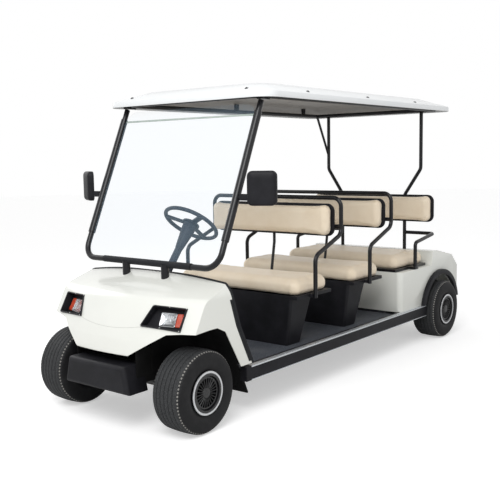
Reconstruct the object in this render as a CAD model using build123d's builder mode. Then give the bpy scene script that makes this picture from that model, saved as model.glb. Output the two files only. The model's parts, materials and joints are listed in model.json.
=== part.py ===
from build123d import *
import os
from math import atan2, cos, degrees, hypot, pi, radians, sin, tan

os.makedirs("parts", exist_ok=True)

# Sizes that the whole car shares, in millimetres. X is across, forward is -Y, and Z is up from the ground.
wheelbase = 2840.0
front_overhang = 281.0
rear_overhang = 451.0
car_length = wheelbase + front_overhang + rear_overhang
front_axle_y = front_overhang - car_length / 2
rear_axle_y = front_axle_y + wheelbase
overrun = 20.0
seat_gap = 0.3
shell_wall = 5.0

# Wheels
tyre_radius = 229.0
tyre_width = 210.0
tyre_shoulder = 34.0
rim_radius = 103.0
rim_lip_radius = 119.0
rim_lip = 9.0
rim_wall = 5.0
bead_gap = 0.3
cover_radius = 94.0
cover_depth = 22.0
fin_count = 24
fin_width = 5.0
fin_inner_share = 0.32
hub_radius = 30.0
hub_length = 46.0
wheel_disc = 8.0
front_wheel_x = 477.0
rear_wheel_x = 530.0

# Axles and steering
kingpin_x = 345.0
kingpin_radius = 11.0
kingpin_height = 120.0
pin_gap = 0.3
knuckle_radius = 24.0
knuckle_height = 64.0
spindle_radius = 14.0
beam_radius = 24.0
yoke_plate = 14.0
yoke_gap = 1.0
arm_reach = 110.0
arm_plate = 12.0
arm_width = 30.0
tie_rod_radius = 9.0
tie_end_radius = 15.0
tie_end_height = 22.0
tie_gap = 1.0
rear_tube_radius = 30.0
rear_case_radius = 85.0
rear_case_width = 120.0
motor_radius = 88.0
motor_length = 236.0
motor_x = -62.0

# Ladder frame
frame_rail_x = 215.0
frame_rail_width = 46.0
frame_rail_height = 62.0
frame_rail_z = 205.0
frame_kick = 96.0
frame_kick_run = 110.0
frame_front_reach = 125.0
frame_rear_reach = 340.0
front_kick_back = 330.0
rear_kick_fore = 380.0
cross_member_width = 40.0
cross_member_height = 46.0
outrigger_width = 34.0
outrigger_height = 34.0

# Floor and sills
floor_thickness = 12.0
floor_half_width = 520.0
floor_front = 345.0
sill_half_width = 575.0
sill_width = 50.0
sill_top_z = 295.0
sill_bottom_z = 208.0
sill_front = 335.0
sill_rear = 2590.0
toe_half_width = 238.0
toe_thickness = 6.0
toe_front = 130.0
toe_top_z = 560.0

# Front cowl
nose_reach = 236.0
cowl_length = 620.0
cowl_bottom_z = 310.0
cowl_height = 512.0
cowl_half_width = 575.0
cowl_top_corner = 120.0
cowl_face_radius = 1700.0
cowl_hood_bend = 90.0
cowl_side_shares = [(0.0, 0.234), (0.040, 0.371), (0.211, 0.791), (0.661, 1.0)]
cowl_tail_shares = [(0.661, 1.0), (0.690, 0.930), (0.815, 0.461), (1.0, 0.0)]
arch_side_shares = [(0.20, 0.478), (0.52, 0.500), (0.640, 0.430), (0.845, 0.0)]
arch_front_shares = [(0.363, 0.220), (0.720, 0.462), (1.05, 0.50)]
trim_width = 18.0
trim_stand = 2.0
liner_inner = 242.0
liner_wall = 4.0
liner_shares = [(-0.08, 0.518), (0.235, 0.518), (0.266, 0.430), (0.356, 0.283), (0.494, 0.006),
                (0.565, -0.156), (0.645, -0.371)]

# Lamps
lamp_x = 380.0
lamp_z = 630.0
lamp_yaw = 13.0
lamp_rake = 29.5
lamp_width = 250.0
lamp_height = 130.0
lamp_corner_shares = [(-0.356, 0.515), (0.492, 0.462), (0.432, -0.538), (-0.572, -0.431)]
lamp_rim = 7.0
lamp_wall = 3.0
lamp_stand = 4.0
lamp_depth = 46.0
lens_width = 96.0
lens_height = 76.0
lens_thickness = 10.0
blinker_width = 38.0

# Front bumper
bumper_top_z = 372.0
bumper_bottom_z = 220.0
bumper_top_half = 225.0
bumper_bottom_half = 262.0
bumper_depth = 150.0
bumper_round = 26.0
bumper_wall = 8.0

# Windscreen
post_x = 550.0
post_radius = 17.0
screen_bottom = 134.0
screen_bottom_z = 872.0
screen_top = 535.0
screen_top_z = 1786.0
screen_bend = 95.0
sleeve_radius = 22.0
sleeve_lower_share = 0.16
sleeve_upper_share = 0.93
glass_thickness = 5.0
bracket_x = 160.0
bracket_width = 46.0

# Roof
roof_half_width = 660.0
roof_front = 445.0
roof_rear = 2850.0
roof_edge_z = 1800.0
roof_lip = 34.0
roof_rise = 62.0
roof_slope = 170.0
roof_corner = 110.0
roof_wall = 6.0
rail_x = 545.0
rail_radius = 15.0
rail_z = 1815.0
pad_width = 40.0

# Rear posts
rear_post_x = 435.0
rear_post = 2752.0
rear_post_radius = 14.0
post_bend_z = 1360.0
post_foot_x = 295.0
post_foot_z = 1150.0

# Seats
seat_rows = [("1", 1069.0), ("2", 1749.0)]
hoop_x = 550.0
hoop_radius = 14.0
hoop_foot_z = 578.0
hoop_elbow_z = 842.0
hoop_knee_z = 958.0
hoop_back = 305.0
hoop_top_z = 1196.0
hoop_bend = 60.0
cushion_half_width = 520.0
cushion_fore = 160.0
cushion_depth = 400.0
cushion_z = 603.0
cushion_height = 98.0
cushion_round = 30.0
back_half_width = 512.0
back_height = 216.0
back_thickness = 72.0
back_z = 942.0
back_round = 26.0
back_shell = 12.0
strut_radius = 10.0
back_bar_share = 0.3
box_half_width = 470.0
box_foot_half_width = 432.0
box_fore = 150.0
box_depth = 240.0
box_foot_depth = 150.0
box_wall = 5.0
seat_plate = 22.0
seat_plate_half_width = 512.0
seat_tab = 26.0
third_foot = 2439.0
third_cushion_depth = 500.0
third_cushion_z = 616.0
third_back_half_width = 560.0
third_arm_z = 845.0
third_arm_drop = 45.0

# Rear body
body_half_width = 560.0
body_front = 2194.0
body_seat_z = 596.0
body_shelf = 2708.0
body_riser = 18.0
body_deck = 2800.0
body_deck_z = 708.0
body_tail = 3080.0
body_tail_z = 646.0
body_end_z = 520.0
body_round = 42.0
rear_arch_radius = 282.0
rear_arch_depth = 165.0
flare_width = 38.0
flare_lip = 30.0
rear_bumper_depth = 70.0
rear_bumper_height = 120.0
rear_bumper_z = 215.0
rear_bumper_half = 480.0
tail_lamp_x = 420.0
tail_lamp_z = 430.0
tail_lamp_width = 110.0
tail_lamp_height = 60.0
tail_lamp_depth = 16.0

# Dash and steering wheel
dash_depth = 120.0
dash_wall = 6.0
pocket_width = 330.0
pocket_height = 120.0
pocket_x = 300.0
pedal_width = 62.0
pedal_height = 95.0
pedal_plate = 8.0
pedal_stand = 60.0
pedal_x = -105.0
pedal_pitch = 110.0
pedal_rise = 100.0
pedal_low_share = 0.45
pedal_high_share = 0.9
spring_width = 44.0
spring_reach = 125.0
spring_thickness = 12.0
steer_x = -215.0
steer_y_back = 752.0
steer_z = 1045.0
steer_lean = 38.0
steer_ring_radius = 180.0
steer_ring_tube = 13.0
steer_hub_radius = 46.0
steer_hub_height = 34.0
spoke_width = 34.0
spoke_thickness = 12.0
column_radius = 24.0

# Power pack
battery_half_width = 400.0
battery_depth = 225.0
battery_height = 290.0
battery_back = 2215.0

# Mirrors
mirror_width = 170.0
mirror_height = 192.0
mirror_depth = 55.0
mirror_x = 724.0
mirror_back = 278.0
mirror_z = 1302.0
mirror_arm_share = 0.415
mirror_arm_radius = 8.0


def back(distance):
    # a place that far behind the front axle
    return front_axle_y + distance


def keep(builder, name):
    builder.part.label = name
    export_step(builder.part, "parts/" + name + ".step")


def tube(points, radius, bend=0.0, bore=0.0):
    # a round bar along straight runs with arcs at its corners
    with BuildPart() as run:
        with BuildLine() as route:
            if bend and len(points) > 2:
                FilletPolyline(*points, radius=bend)
            else:
                Polyline(*points)
        with BuildSketch(Plane(origin=route.line @ 0, z_dir=route.line % 0)):
            Circle(radius)
            if bore:
                Circle(bore, mode=Mode.SUBTRACT)
        sweep()
    return run.part


def block(x_span, y_span, z_span):
    # a square-cornered body between two corners
    low_x, high_x = sorted(x_span)
    low_y, high_y = sorted(y_span)
    low_z, high_z = sorted(z_span)
    with BuildPart() as body:
        with BuildSketch(Plane.XY.offset(low_z)):
            with Locations(((low_x + high_x) / 2, (low_y + high_y) / 2)):
                Rectangle(high_x - low_x, high_y - low_y)
        extrude(amount=high_z - low_z)
    return body.part


# Wheels: turned tyre, rim with its bead, and finned cover, each made about its own centre
half_tyre = tyre_width / 2
with BuildPart() as tyre_form:
    with BuildSketch(Plane.XZ):
        with BuildLine():
            Polyline(
                (-half_tyre + rim_lip, rim_radius + bead_gap),
                (-half_tyre + rim_lip, rim_lip_radius),
                (-half_tyre, rim_lip_radius + tyre_shoulder),
                (-half_tyre, tyre_radius - tyre_shoulder),
                (-half_tyre + tyre_shoulder, tyre_radius),
                (half_tyre - tyre_shoulder, tyre_radius),
                (half_tyre, tyre_radius - tyre_shoulder),
                (half_tyre, rim_lip_radius + tyre_shoulder),
                (half_tyre - rim_lip, rim_lip_radius),
                (half_tyre - rim_lip, rim_radius + bead_gap),
                close=True,
            )
        make_face()
    revolve(axis=Axis.X)

rim_edge = half_tyre - rim_lip
disc_x = rim_edge - cover_depth - hub_length / 2
with BuildPart() as rim_form:
    with BuildSketch(Plane.XZ):
        with BuildLine():
            Polyline(
                (-rim_edge - seat_gap, rim_lip_radius),
                (-rim_edge - rim_lip, rim_lip_radius),
                (-rim_edge - rim_lip, rim_radius - 2 * rim_wall),
                (disc_x, rim_radius - 2 * rim_wall),
                (disc_x, hub_radius),
                (disc_x + wheel_disc, hub_radius),
                (disc_x + wheel_disc, rim_radius - 2 * rim_wall),
                (rim_edge + rim_lip, rim_radius - 2 * rim_wall),
                (rim_edge + rim_lip, rim_lip_radius),
                (rim_edge + seat_gap, rim_lip_radius),
                (rim_edge + seat_gap, rim_radius),
                (-rim_edge - seat_gap, rim_radius),
                close=True,
            )
        make_face()
    revolve(axis=Axis.X)
    with BuildSketch(Plane.YZ.offset(disc_x)):
        Circle(hub_radius + overrun)
        Circle(spindle_radius + pin_gap, mode=Mode.SUBTRACT)
    extrude(amount=wheel_disc)
    with BuildSketch(Plane.YZ.offset(disc_x)):
        Circle(hub_radius)
        Circle(spindle_radius + pin_gap, mode=Mode.SUBTRACT)
    extrude(amount=-hub_length)

cover_back = disc_x + wheel_disc
with BuildPart() as cover_form:
    with BuildSketch(Plane.YZ.offset(cover_back)):
        Circle(cover_radius - rim_wall)
    extrude(amount=rim_wall)
    with BuildSketch(Plane.YZ.offset(cover_back + rim_wall)):
        Circle(cover_radius * fin_inner_share)
        with PolarLocations(cover_radius * (1 + fin_inner_share) / 2, fin_count):
            Rectangle(cover_radius * (1 - fin_inner_share) - 2 * rim_wall, fin_width)
    extrude(amount=rim_edge - cover_back - rim_wall)

wheel_places = [
    ("front_left", 1, front_wheel_x, front_axle_y),
    ("front_right", -1, front_wheel_x, front_axle_y),
    ("rear_left", 1, rear_wheel_x, rear_axle_y),
    ("rear_right", -1, rear_wheel_x, rear_axle_y),
]
for place, side, wheel_x, wheel_y in wheel_places:
    spot = Location((side * wheel_x, wheel_y, tyre_radius), (0, 0, 0 if side > 0 else 180))
    with BuildPart() as tyre:
        with Locations(spot):
            add(tyre_form.part)
    keep(tyre, "tyre_" + place)
    with BuildPart() as wheel:
        with Locations(spot):
            add(rim_form.part)
    keep(wheel, "rim_" + place)
    with BuildPart() as cover:
        with Locations(spot):
            add(cover_form.part)
    keep(cover, "cover_" + place)

# Front suspension: a beam with kingpin yokes, two knuckles with spindles and arms, and the tie rod
arm_y = front_axle_y + arm_reach
arm_x = kingpin_x
spindle_end = front_wheel_x + disc_x
with BuildPart() as front_axle:
    add(tube([(-kingpin_x + knuckle_radius + yoke_plate, front_axle_y, tyre_radius),
              (kingpin_x - knuckle_radius - yoke_plate, front_axle_y, tyre_radius)], beam_radius))
    for side in (-1, 1):
        for level in (-1, 1):
            plate_z = tyre_radius + level * (knuckle_height / 2 + yoke_gap)
            with BuildSketch(Plane.XY.offset(plate_z)):
                with Locations((side * kingpin_x, front_axle_y)):
                    Circle(knuckle_radius)
                with Locations((side * (kingpin_x - knuckle_radius), front_axle_y)):
                    Rectangle(2 * knuckle_radius + yoke_plate, 2 * knuckle_radius)
                with Locations((side * kingpin_x, front_axle_y)):
                    Circle(kingpin_radius + pin_gap, mode=Mode.SUBTRACT)
            extrude(amount=level * yoke_plate)
        web_x = side * (kingpin_x - 2 * knuckle_radius)
        add(block((web_x - yoke_plate / 2, web_x + yoke_plate / 2),
                  (front_axle_y - knuckle_radius, front_axle_y + knuckle_radius),
                  (tyre_radius - knuckle_height / 2 - yoke_gap - yoke_plate,
                   tyre_radius + knuckle_height / 2 + yoke_gap + yoke_plate)))
keep(front_axle, "front_axle")

for name, side in (("knuckle_left", 1), ("knuckle_right", -1)):
    pin_x = side * kingpin_x
    with BuildPart() as knuckle:
        with BuildSketch(Plane.XY.offset(tyre_radius - knuckle_height / 2)):
            with Locations((pin_x, front_axle_y)):
                Circle(knuckle_radius)
        extrude(amount=knuckle_height)
        with BuildSketch(Plane.XY.offset(tyre_radius - kingpin_height / 2)):
            with Locations((pin_x, front_axle_y)):
                Circle(kingpin_radius)
        extrude(amount=kingpin_height)
        add(tube([(pin_x, front_axle_y, tyre_radius), (side * spindle_end, front_axle_y, tyre_radius)],
                 spindle_radius))
        with BuildSketch(Plane.XY.offset(tyre_radius - arm_plate / 2)):
            with BuildLine():
                Polyline((pin_x + side * arm_width / 2, front_axle_y),
                         (pin_x - side * arm_width / 2, front_axle_y),
                         (side * arm_x - side * arm_width / 2, arm_y),
                         (side * arm_x + side * arm_width / 2, arm_y), close=True)
            make_face()
            with Locations((side * arm_x, arm_y)):
                Circle(arm_width / 2)
        extrude(amount=arm_plate)
    keep(knuckle, name)

rod_z = tyre_radius - arm_plate / 2 - tie_gap - tie_end_height / 2
with BuildPart() as tie_rod:
    add(tube([(-arm_x, arm_y, rod_z), (arm_x, arm_y, rod_z)], tie_rod_radius))
    for side in (-1, 1):
        with BuildSketch(Plane.XY.offset(rod_z - tie_end_height / 2)):
            with Locations((side * arm_x, arm_y)):
                Circle(tie_end_radius)
        extrude(amount=tie_end_height)
keep(tie_rod, "tie_rod")

# Rear axle with its gear case and motor
flange_x = rear_wheel_x + disc_x - hub_length
with BuildPart() as rear_axle:
    add(tube([(-flange_x + seat_gap, rear_axle_y, tyre_radius),
              (flange_x - seat_gap, rear_axle_y, tyre_radius)], rear_tube_radius))
    with BuildSketch(Plane.YZ.offset(-rear_case_width / 2)):
        with Locations((rear_axle_y, tyre_radius)):
            Circle(rear_case_radius)
    extrude(amount=rear_case_width)
    for side in (-1, 1):
        add(tube([(side * flange_x, rear_axle_y, tyre_radius),
                  (side * (rear_wheel_x + disc_x), rear_axle_y, tyre_radius)], spindle_radius))
keep(rear_axle, "rear_axle")

with BuildPart() as drive_motor:
    add(tube([(motor_x - motor_length / 2, rear_axle_y - rear_case_radius - motor_radius - seat_gap,
               tyre_radius),
              (motor_x + motor_length / 2, rear_axle_y - rear_case_radius - motor_radius - seat_gap,
               tyre_radius)], motor_radius))
keep(drive_motor, "drive_motor")

# Leaf springs between each axle and the rails above it
def spring_at(centre_x, centre_y, axle_top):
    rail_bottom = frame_rail_z + frame_kick
    low = axle_top + seat_gap
    high = rail_bottom - spring_thickness * 2
    with BuildPart() as spring:
        with BuildSketch(Plane.YZ.offset(centre_x - spring_width / 2)):
            with BuildLine():
                ThreePointArc((centre_y - spring_reach, high), (centre_y, low),
                              (centre_y + spring_reach, high))
                Line((centre_y + spring_reach, high), (centre_y + spring_reach, high + spring_thickness))
                ThreePointArc((centre_y + spring_reach, high + spring_thickness),
                              (centre_y, low + spring_thickness),
                              (centre_y - spring_reach, high + spring_thickness))
                Line((centre_y - spring_reach, high + spring_thickness), (centre_y - spring_reach, high))
            make_face()
            for end in (-1, 1):
                with Locations((centre_y + end * (spring_reach - spring_thickness),
                                (high + rail_bottom) / 2)):
                    Rectangle(2 * spring_thickness, rail_bottom - high)
        extrude(amount=spring_width)
    return spring.part


with BuildPart() as leaf_springs:
    for side in (-1, 1):
        add(spring_at(side * frame_rail_x, front_axle_y, tyre_radius + beam_radius))
        add(spring_at(side * frame_rail_x, rear_axle_y, tyre_radius + rear_tube_radius))
keep(leaf_springs, "leaf_springs")

# Ladder frame: two rails that rise over the axles, with cross members
kick_z = frame_rail_z + frame_kick
bumper_front = -car_length / 2
rail_front = back(-frame_front_reach)
rail_rear = rear_axle_y + frame_rear_reach
front_kick = back(front_kick_back)
rear_kick = rear_axle_y - rear_kick_fore
with BuildPart() as chassis_frame:
    for side in (-1, 1):
        with BuildSketch(Plane.YZ.offset(side * frame_rail_x - frame_rail_width / 2)):
            with BuildLine():
                Polyline(
                    (rail_front, kick_z),
                    (front_kick - frame_kick_run, kick_z),
                    (front_kick, frame_rail_z),
                    (rear_kick, frame_rail_z),
                    (rear_kick + frame_kick_run, kick_z),
                    (rail_rear, kick_z),
                    (rail_rear, kick_z + frame_rail_height),
                    (rear_kick + frame_kick_run, kick_z + frame_rail_height),
                    (rear_kick, frame_rail_z + frame_rail_height),
                    (front_kick, frame_rail_z + frame_rail_height),
                    (front_kick - frame_kick_run, kick_z + frame_rail_height),
                    (rail_front, kick_z + frame_rail_height),
                    close=True,
                )
            make_face()
        extrude(amount=frame_rail_width)
    rail_inner = frame_rail_x - frame_rail_width / 2
    for cross_y, cross_z in ((rail_front, kick_z), (front_kick + cross_member_width, frame_rail_z),
                             (-cross_member_width / 2, frame_rail_z),
                             (rear_kick - cross_member_width * 2, frame_rail_z),
                             (rail_rear - cross_member_width, kick_z)):
        add(block((-rail_inner, rail_inner), (cross_y, cross_y + cross_member_width),
                  (cross_z, cross_z + cross_member_height)))
    for side in (-1, 1):
        add(block((side * bumper_top_half / 2, side * (bumper_top_half / 2 + cross_member_width)),
                  (bumper_front + bumper_wall + seat_gap, rail_front + overrun),
                  (kick_z, kick_z + cross_member_height)))
    rail_outer = frame_rail_x + frame_rail_width / 2
    sill_inner = sill_half_width - sill_width
    outrigger_top = frame_rail_z + frame_rail_height
    for arm_start in (front_kick + cross_member_width, -cross_member_width / 2,
                      rear_kick - cross_member_width * 2):
        for side in (-1, 1):
            add(block((side * rail_outer, side * sill_inner), (arm_start, arm_start + outrigger_width),
                      (outrigger_top - outrigger_height, outrigger_top)))
keep(chassis_frame, "chassis_frame")

# Floor: a flat pan with a raised toe board between the front wheels
pan_z = frame_rail_z + frame_rail_height
pan_front = back(floor_front)
body_face = back(body_front)
toe_low = (front_kick, pan_z)
toe_knee = (front_kick - frame_kick_run, pan_z + frame_kick)
toe_high = (back(toe_front), toe_top_z)
toe_tops = [(toe_low[0], pan_z + toe_thickness),
            (toe_knee[0] + toe_thickness / 2, toe_knee[1] + toe_thickness),
            (toe_high[0] + toe_thickness, toe_high[1])]
with BuildPart() as floor_pan:
    add(block((-floor_half_width, floor_half_width), (pan_front, body_face - seat_gap),
              (pan_z, pan_z + floor_thickness)))
    with BuildSketch(Plane.YZ.offset(-toe_half_width)):
        with BuildLine():
            Polyline(toe_high, toe_knee, toe_low, (pan_front + toe_thickness, pan_z),
                     (pan_front + toe_thickness, pan_z + toe_thickness), *toe_tops, close=True)
        make_face()
    extrude(amount=2 * toe_half_width)
keep(floor_pan, "floor_pan")

with BuildPart() as side_sills:
    for side in (-1, 1):
        add(block((side * sill_inner, side * sill_half_width), (back(sill_front), back(sill_rear)),
                  (sill_bottom_z, sill_top_z)))
keep(side_sills, "side_sills")

# Front cowl: a moulded shell from its side profile turned about a far centre, its front profile and its tail
nose_y = back(-nose_reach)
cowl_rear = nose_y + cowl_length
cowl_top_z = cowl_bottom_z + cowl_height


def cowl_point(share):
    return (nose_y + share[0] * cowl_length, cowl_bottom_z + share[1] * cowl_height)


def cowl_form(inset):
    side = [cowl_point(share) for share in cowl_side_shares]
    far_y = cowl_rear + overrun
    low_z = cowl_bottom_z - overrun
    with BuildPart() as form:
        with BuildSketch(Plane.YZ):
            with BuildLine():
                FilletPolyline((far_y + 2 * inset, low_z - inset), (side[0][0], low_z - inset), side[0],
                               side[1], side[2], side[3],
                               (far_y + 2 * inset, side[3][1]),
                               radius=[overrun / 4, overrun / 4, cowl_hood_bend, cowl_hood_bend,
                                       cowl_hood_bend])
                Line((far_y + 2 * inset, low_z - inset), (far_y + 2 * inset, side[3][1]))
            make_face()
            if inset:
                offset(amount=-inset)
        revolve(axis=Axis((0, nose_y + cowl_face_radius, 0), (0, 0, 1)))
        with BuildSketch(Plane.XZ.offset(-far_y)):
            with BuildLine():
                Polyline((-cowl_half_width + inset, low_z),
                         (-cowl_half_width + inset, cowl_top_z + overrun / 2 - inset),
                         (cowl_half_width - inset, cowl_top_z + overrun / 2 - inset),
                         (cowl_half_width - inset, low_z), close=True)
            make_face()
            fillet(vertices().group_by(Axis.Y)[-1], radius=cowl_top_corner - inset)
        extrude(amount=cowl_length + 2 * overrun, mode=Mode.INTERSECT)
    return form.part


tail = [cowl_point(share) for share in cowl_tail_shares]
arch = [cowl_point(share) for share in arch_side_shares]
arch_front = [(share[0] * cowl_half_width,
               cowl_bottom_z + share[1] * cowl_height) for share in arch_front_shares]
low_z = cowl_bottom_z - overrun
with BuildPart() as arch_cut:
    with BuildSketch(Plane.YZ.offset(-cowl_half_width - overrun)):
        with BuildLine():
            Polyline((nose_y - overrun, low_z - overrun), (nose_y - overrun, arch[0][1]), arch[0], arch[1],
                     arch[2], arch[3],
                     (arch[3][0], low_z - overrun), close=True)
        make_face()
    extrude(amount=2 * cowl_half_width + 2 * overrun)
    with BuildSketch(Plane.XZ.offset(-cowl_rear)):
        for side in (-1, 1):
            with BuildLine():
                Polyline((side * arch_front[0][0], low_z - overrun),
                         (side * arch_front[0][0], arch_front[0][1]),
                         (side * arch_front[1][0], arch_front[1][1]),
                         (side * arch_front[2][0], arch_front[2][1]),
                         (side * arch_front[2][0], low_z - overrun), close=True)
            make_face()
    extrude(amount=cowl_length + 2 * overrun, mode=Mode.INTERSECT)

lamp_set_back = cowl_face_radius - (cowl_face_radius ** 2 - lamp_x ** 2) ** 0.5
face_low = cowl_point(cowl_side_shares[1])
face_high = cowl_point(cowl_side_shares[2])
lamp_y = face_low[0] + (lamp_z - face_low[1]) * (face_high[0] - face_low[0]) / (face_high[1] - face_low[1]) + lamp_set_back
lamp_points = [(share[0] * lamp_width, share[1] * lamp_height) for share in lamp_corner_shares]


def lamp_plane(side):
    yaw = radians(lamp_yaw)
    rake = radians(lamp_rake)
    out = (side * sin(yaw) * cos(rake), -cos(yaw) * cos(rake), sin(rake))
    return Plane(origin=(side * lamp_x, lamp_y, lamp_z), x_dir=(side * cos(yaw), sin(yaw), 0), z_dir=out)


def lamp_outline(plane, side, grow):
    # the lamp's slanted outline on its own plane, grown or shrunk all round
    turn = 1 if plane.y_dir.Z > 0 else -1
    with BuildSketch(plane) as outline:
        with BuildLine():
            Polyline(*[(x, turn * y) for x, y in lamp_points], close=True)
        make_face()
        if grow:
            offset(amount=grow)
    return outline.sketch


with BuildPart() as lamp_holes:
    for side in (-1, 1):
        extrude(lamp_outline(lamp_plane(side).offset(-lamp_depth * 2), side, seat_gap), amount=lamp_depth * 4)

with BuildPart() as front_cowl:
    add(cowl_form(0.0))
    add(cowl_form(shell_wall), mode=Mode.SUBTRACT)
    with BuildSketch(Plane.YZ.offset(-cowl_half_width - overrun)):
        with BuildLine():
            Polyline((nose_y - overrun, cowl_bottom_z), tail[3], tail[2], tail[1], tail[0],
                     (tail[0][0], cowl_top_z + overrun),
                     (nose_y - overrun, cowl_top_z + overrun), close=True)
        make_face()
    extrude(amount=2 * cowl_half_width + 2 * overrun, mode=Mode.INTERSECT)
    add(arch_cut.part, mode=Mode.SUBTRACT)
    with BuildSketch(Plane.XZ.offset(-tail[0][0])):
        with Locations((0, cowl_bottom_z + arch_front_shares[0][1] * cowl_height / 2)):
            Rectangle(2 * arch_front[0][0] + overrun, arch_front_shares[0][1] * cowl_height)
    extrude(amount=cowl_length + 2 * overrun, mode=Mode.SUBTRACT)
    add(lamp_holes.part, mode=Mode.SUBTRACT)
keep(front_cowl, "front_cowl")

# Black edge trim along the tail of the cowl and over its top
with BuildPart() as cowl_trim:
    add(cowl_form(-trim_stand))
    add(cowl_form(shell_wall + trim_stand), mode=Mode.SUBTRACT)
    with BuildSketch(Plane.YZ.offset(-cowl_half_width - overrun)):
        with BuildLine():
            Polyline((tail[3][0] + seat_gap, tail[3][1]), (tail[2][0] + seat_gap, tail[2][1]),
                     (tail[1][0] + seat_gap, tail[1][1]),
                     (tail[0][0] + seat_gap, tail[0][1]), (tail[0][0] + seat_gap, cowl_top_z + overrun),
                     (tail[0][0] + trim_width, cowl_top_z + overrun), (tail[0][0] + trim_width, tail[0][1]),
                     (tail[1][0] + trim_width, tail[1][1]), (tail[2][0] + trim_width, tail[2][1]),
                     (tail[3][0] + trim_width, tail[3][1]), close=True)
        make_face()
    extrude(amount=2 * cowl_half_width + 2 * overrun, mode=Mode.INTERSECT)
keep(cowl_trim, "cowl_trim")

# Lamps: a slanted bezel with a deep pocket, a clear lens and an amber one
with BuildPart() as lamp_bezels:
    for side in (-1, 1):
        plane = lamp_plane(side)
        extrude(lamp_outline(plane.offset(-lamp_depth), side, 0.0), amount=lamp_depth + lamp_stand)
        extrude(lamp_outline(plane.offset(-lamp_depth + lamp_wall), side, -lamp_rim),
                amount=lamp_depth + lamp_stand, mode=Mode.SUBTRACT)
keep(lamp_bezels, "lamp_bezels")

with BuildPart() as headlamp_lenses:
    for side in (-1, 1):
        with BuildSketch(lamp_plane(side).offset(-lamp_depth + lamp_wall + seat_gap)):
            RectangleRounded(lens_width, lens_height, lens_thickness / 2)
        extrude(amount=lens_thickness)
keep(headlamp_lenses, "headlamp_lenses")

with BuildPart() as indicator_lenses:
    for side in (-1, 1):
        with BuildSketch(lamp_plane(side).offset(-lamp_depth + lamp_wall + seat_gap)):
            with Locations((lens_width / 2 + blinker_width / 2 + lamp_wall, 0)):
                RectangleRounded(blinker_width, lens_height, lens_thickness / 2)
        extrude(amount=lens_thickness)
keep(indicator_lenses, "indicator_lenses")

# Wheel-arch liners of the front wheels, each ending in a flap behind the tyre
liner_outer = cowl_half_width - shell_wall - trim_stand - seat_gap
flap_outer = sill_inner - seat_gap
liner_line = [(front_axle_y + share[0] * cowl_length,
               cowl_bottom_z + share[1] * cowl_height) for share in liner_shares]
with BuildPart() as liner_roof:
    for side in (-1, 1):
        add(block((side * liner_inner, side * liner_outer),
                  (liner_line[0][0], liner_line[1][0] + 2 * liner_wall),
                  (liner_line[0][1], liner_line[0][1] + liner_wall)))
    add(cowl_form(shell_wall + seat_gap), mode=Mode.INTERSECT)
with BuildPart() as front_liners:
    add(liner_roof.part)
    for side in (-1, 1):
        for line, outer in ((liner_line[1:5], liner_outer), (liner_line[4:], flap_outer)):
            with BuildSketch(Plane.YZ.offset(liner_inner if side > 0 else -outer)):
                with BuildLine():
                    Polyline(*line, *[(y + 2 * liner_wall, z + liner_wall) for y, z in line[::-1]],
                             close=True)
                make_face()
            extrude(amount=outer - liner_inner)
        with BuildSketch(Plane.YZ.offset(side * liner_inner if side > 0 else -liner_inner - liner_wall)):
            with BuildLine():
                Polyline((nose_y + cowl_length / 4, liner_line[1][1]), liner_line[1], liner_line[2],
                         liner_line[3], liner_line[4],
                         (nose_y + cowl_length / 4, kick_z), close=True)
            make_face()
        extrude(amount=liner_wall)
keep(front_liners, "front_liners")

# Dash: a moulding that closes the cowl, with two open pockets
dash_y = tail[0][0]
dash_bottom_z = liner_line[0][1] + liner_wall + seat_gap
with BuildPart() as dashboard:
    add(cowl_form(shell_wall + trim_stand + seat_gap))
    with BuildSketch(Plane.XY.offset(dash_bottom_z)):
        with Locations((0, dash_y - dash_depth / 2 + trim_width / 2)):
            Rectangle(2 * cowl_half_width, dash_depth + trim_width)
    extrude(amount=cowl_height, mode=Mode.INTERSECT)
    for side in (-1, 1):
        add(block((side * (pocket_x - pocket_width / 2), side * (pocket_x + pocket_width / 2)),
                  (dash_y - dash_depth + dash_wall, dash_y + overrun),
                  (dash_bottom_z + 2 * dash_wall, dash_bottom_z + 2 * dash_wall + pocket_height)),
                  mode=Mode.SUBTRACT)
keep(dashboard, "dashboard")

# Front bumper: a rounded moulding
with BuildPart() as front_bumper:
    with BuildSketch(Plane.XZ.offset(-bumper_front - bumper_depth)):
        with BuildLine():
            Polyline((-bumper_bottom_half, bumper_bottom_z), (bumper_bottom_half, bumper_bottom_z),
                     (bumper_top_half, bumper_top_z), (-bumper_top_half, bumper_top_z), close=True)
        make_face()
    extrude(amount=bumper_depth)
    fillet(front_bumper.faces().sort_by(Axis.Y)[0].edges(), radius=bumper_round)
    offset(amount=-bumper_wall, openings=front_bumper.faces().sort_by(Axis.Y)[-1])
keep(front_bumper, "front_bumper")

# Windscreen: a tube frame with thicker sleeves, and a clear pane
screen_low = (back(screen_bottom), screen_bottom_z)
screen_high = (back(screen_top), screen_top_z)
frame_route = [(post_x, screen_high[0], screen_high[1]), (post_x, screen_low[0], screen_low[1]),
               (-post_x, screen_low[0], screen_low[1]), (-post_x, screen_high[0], screen_high[1])]


def on_post(share, x=post_x):
    return (x, screen_low[0] + share * (screen_high[0] - screen_low[0]),
            screen_low[1] + share * (screen_high[1] - screen_low[1]))


with BuildPart() as windscreen_frame:
    add(tube(frame_route, post_radius, bend=screen_bend))
    for side in (-1, 1):
        add(tube([on_post(sleeve_lower_share, side * post_x), on_post(sleeve_upper_share, side * post_x)],
                 sleeve_radius))
    for side in (-1, 1):
        with BuildSketch(Plane.XY.offset(cowl_top_z - overrun * 2)):
            with Locations((side * bracket_x, screen_low[0] - post_radius / 2)):
                Circle(bracket_width / 2)
        extrude(amount=screen_low[1] - cowl_top_z + overrun * 2)
    add(cowl_form(-seat_gap), mode=Mode.SUBTRACT)
keep(windscreen_frame, "windscreen_frame")

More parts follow.
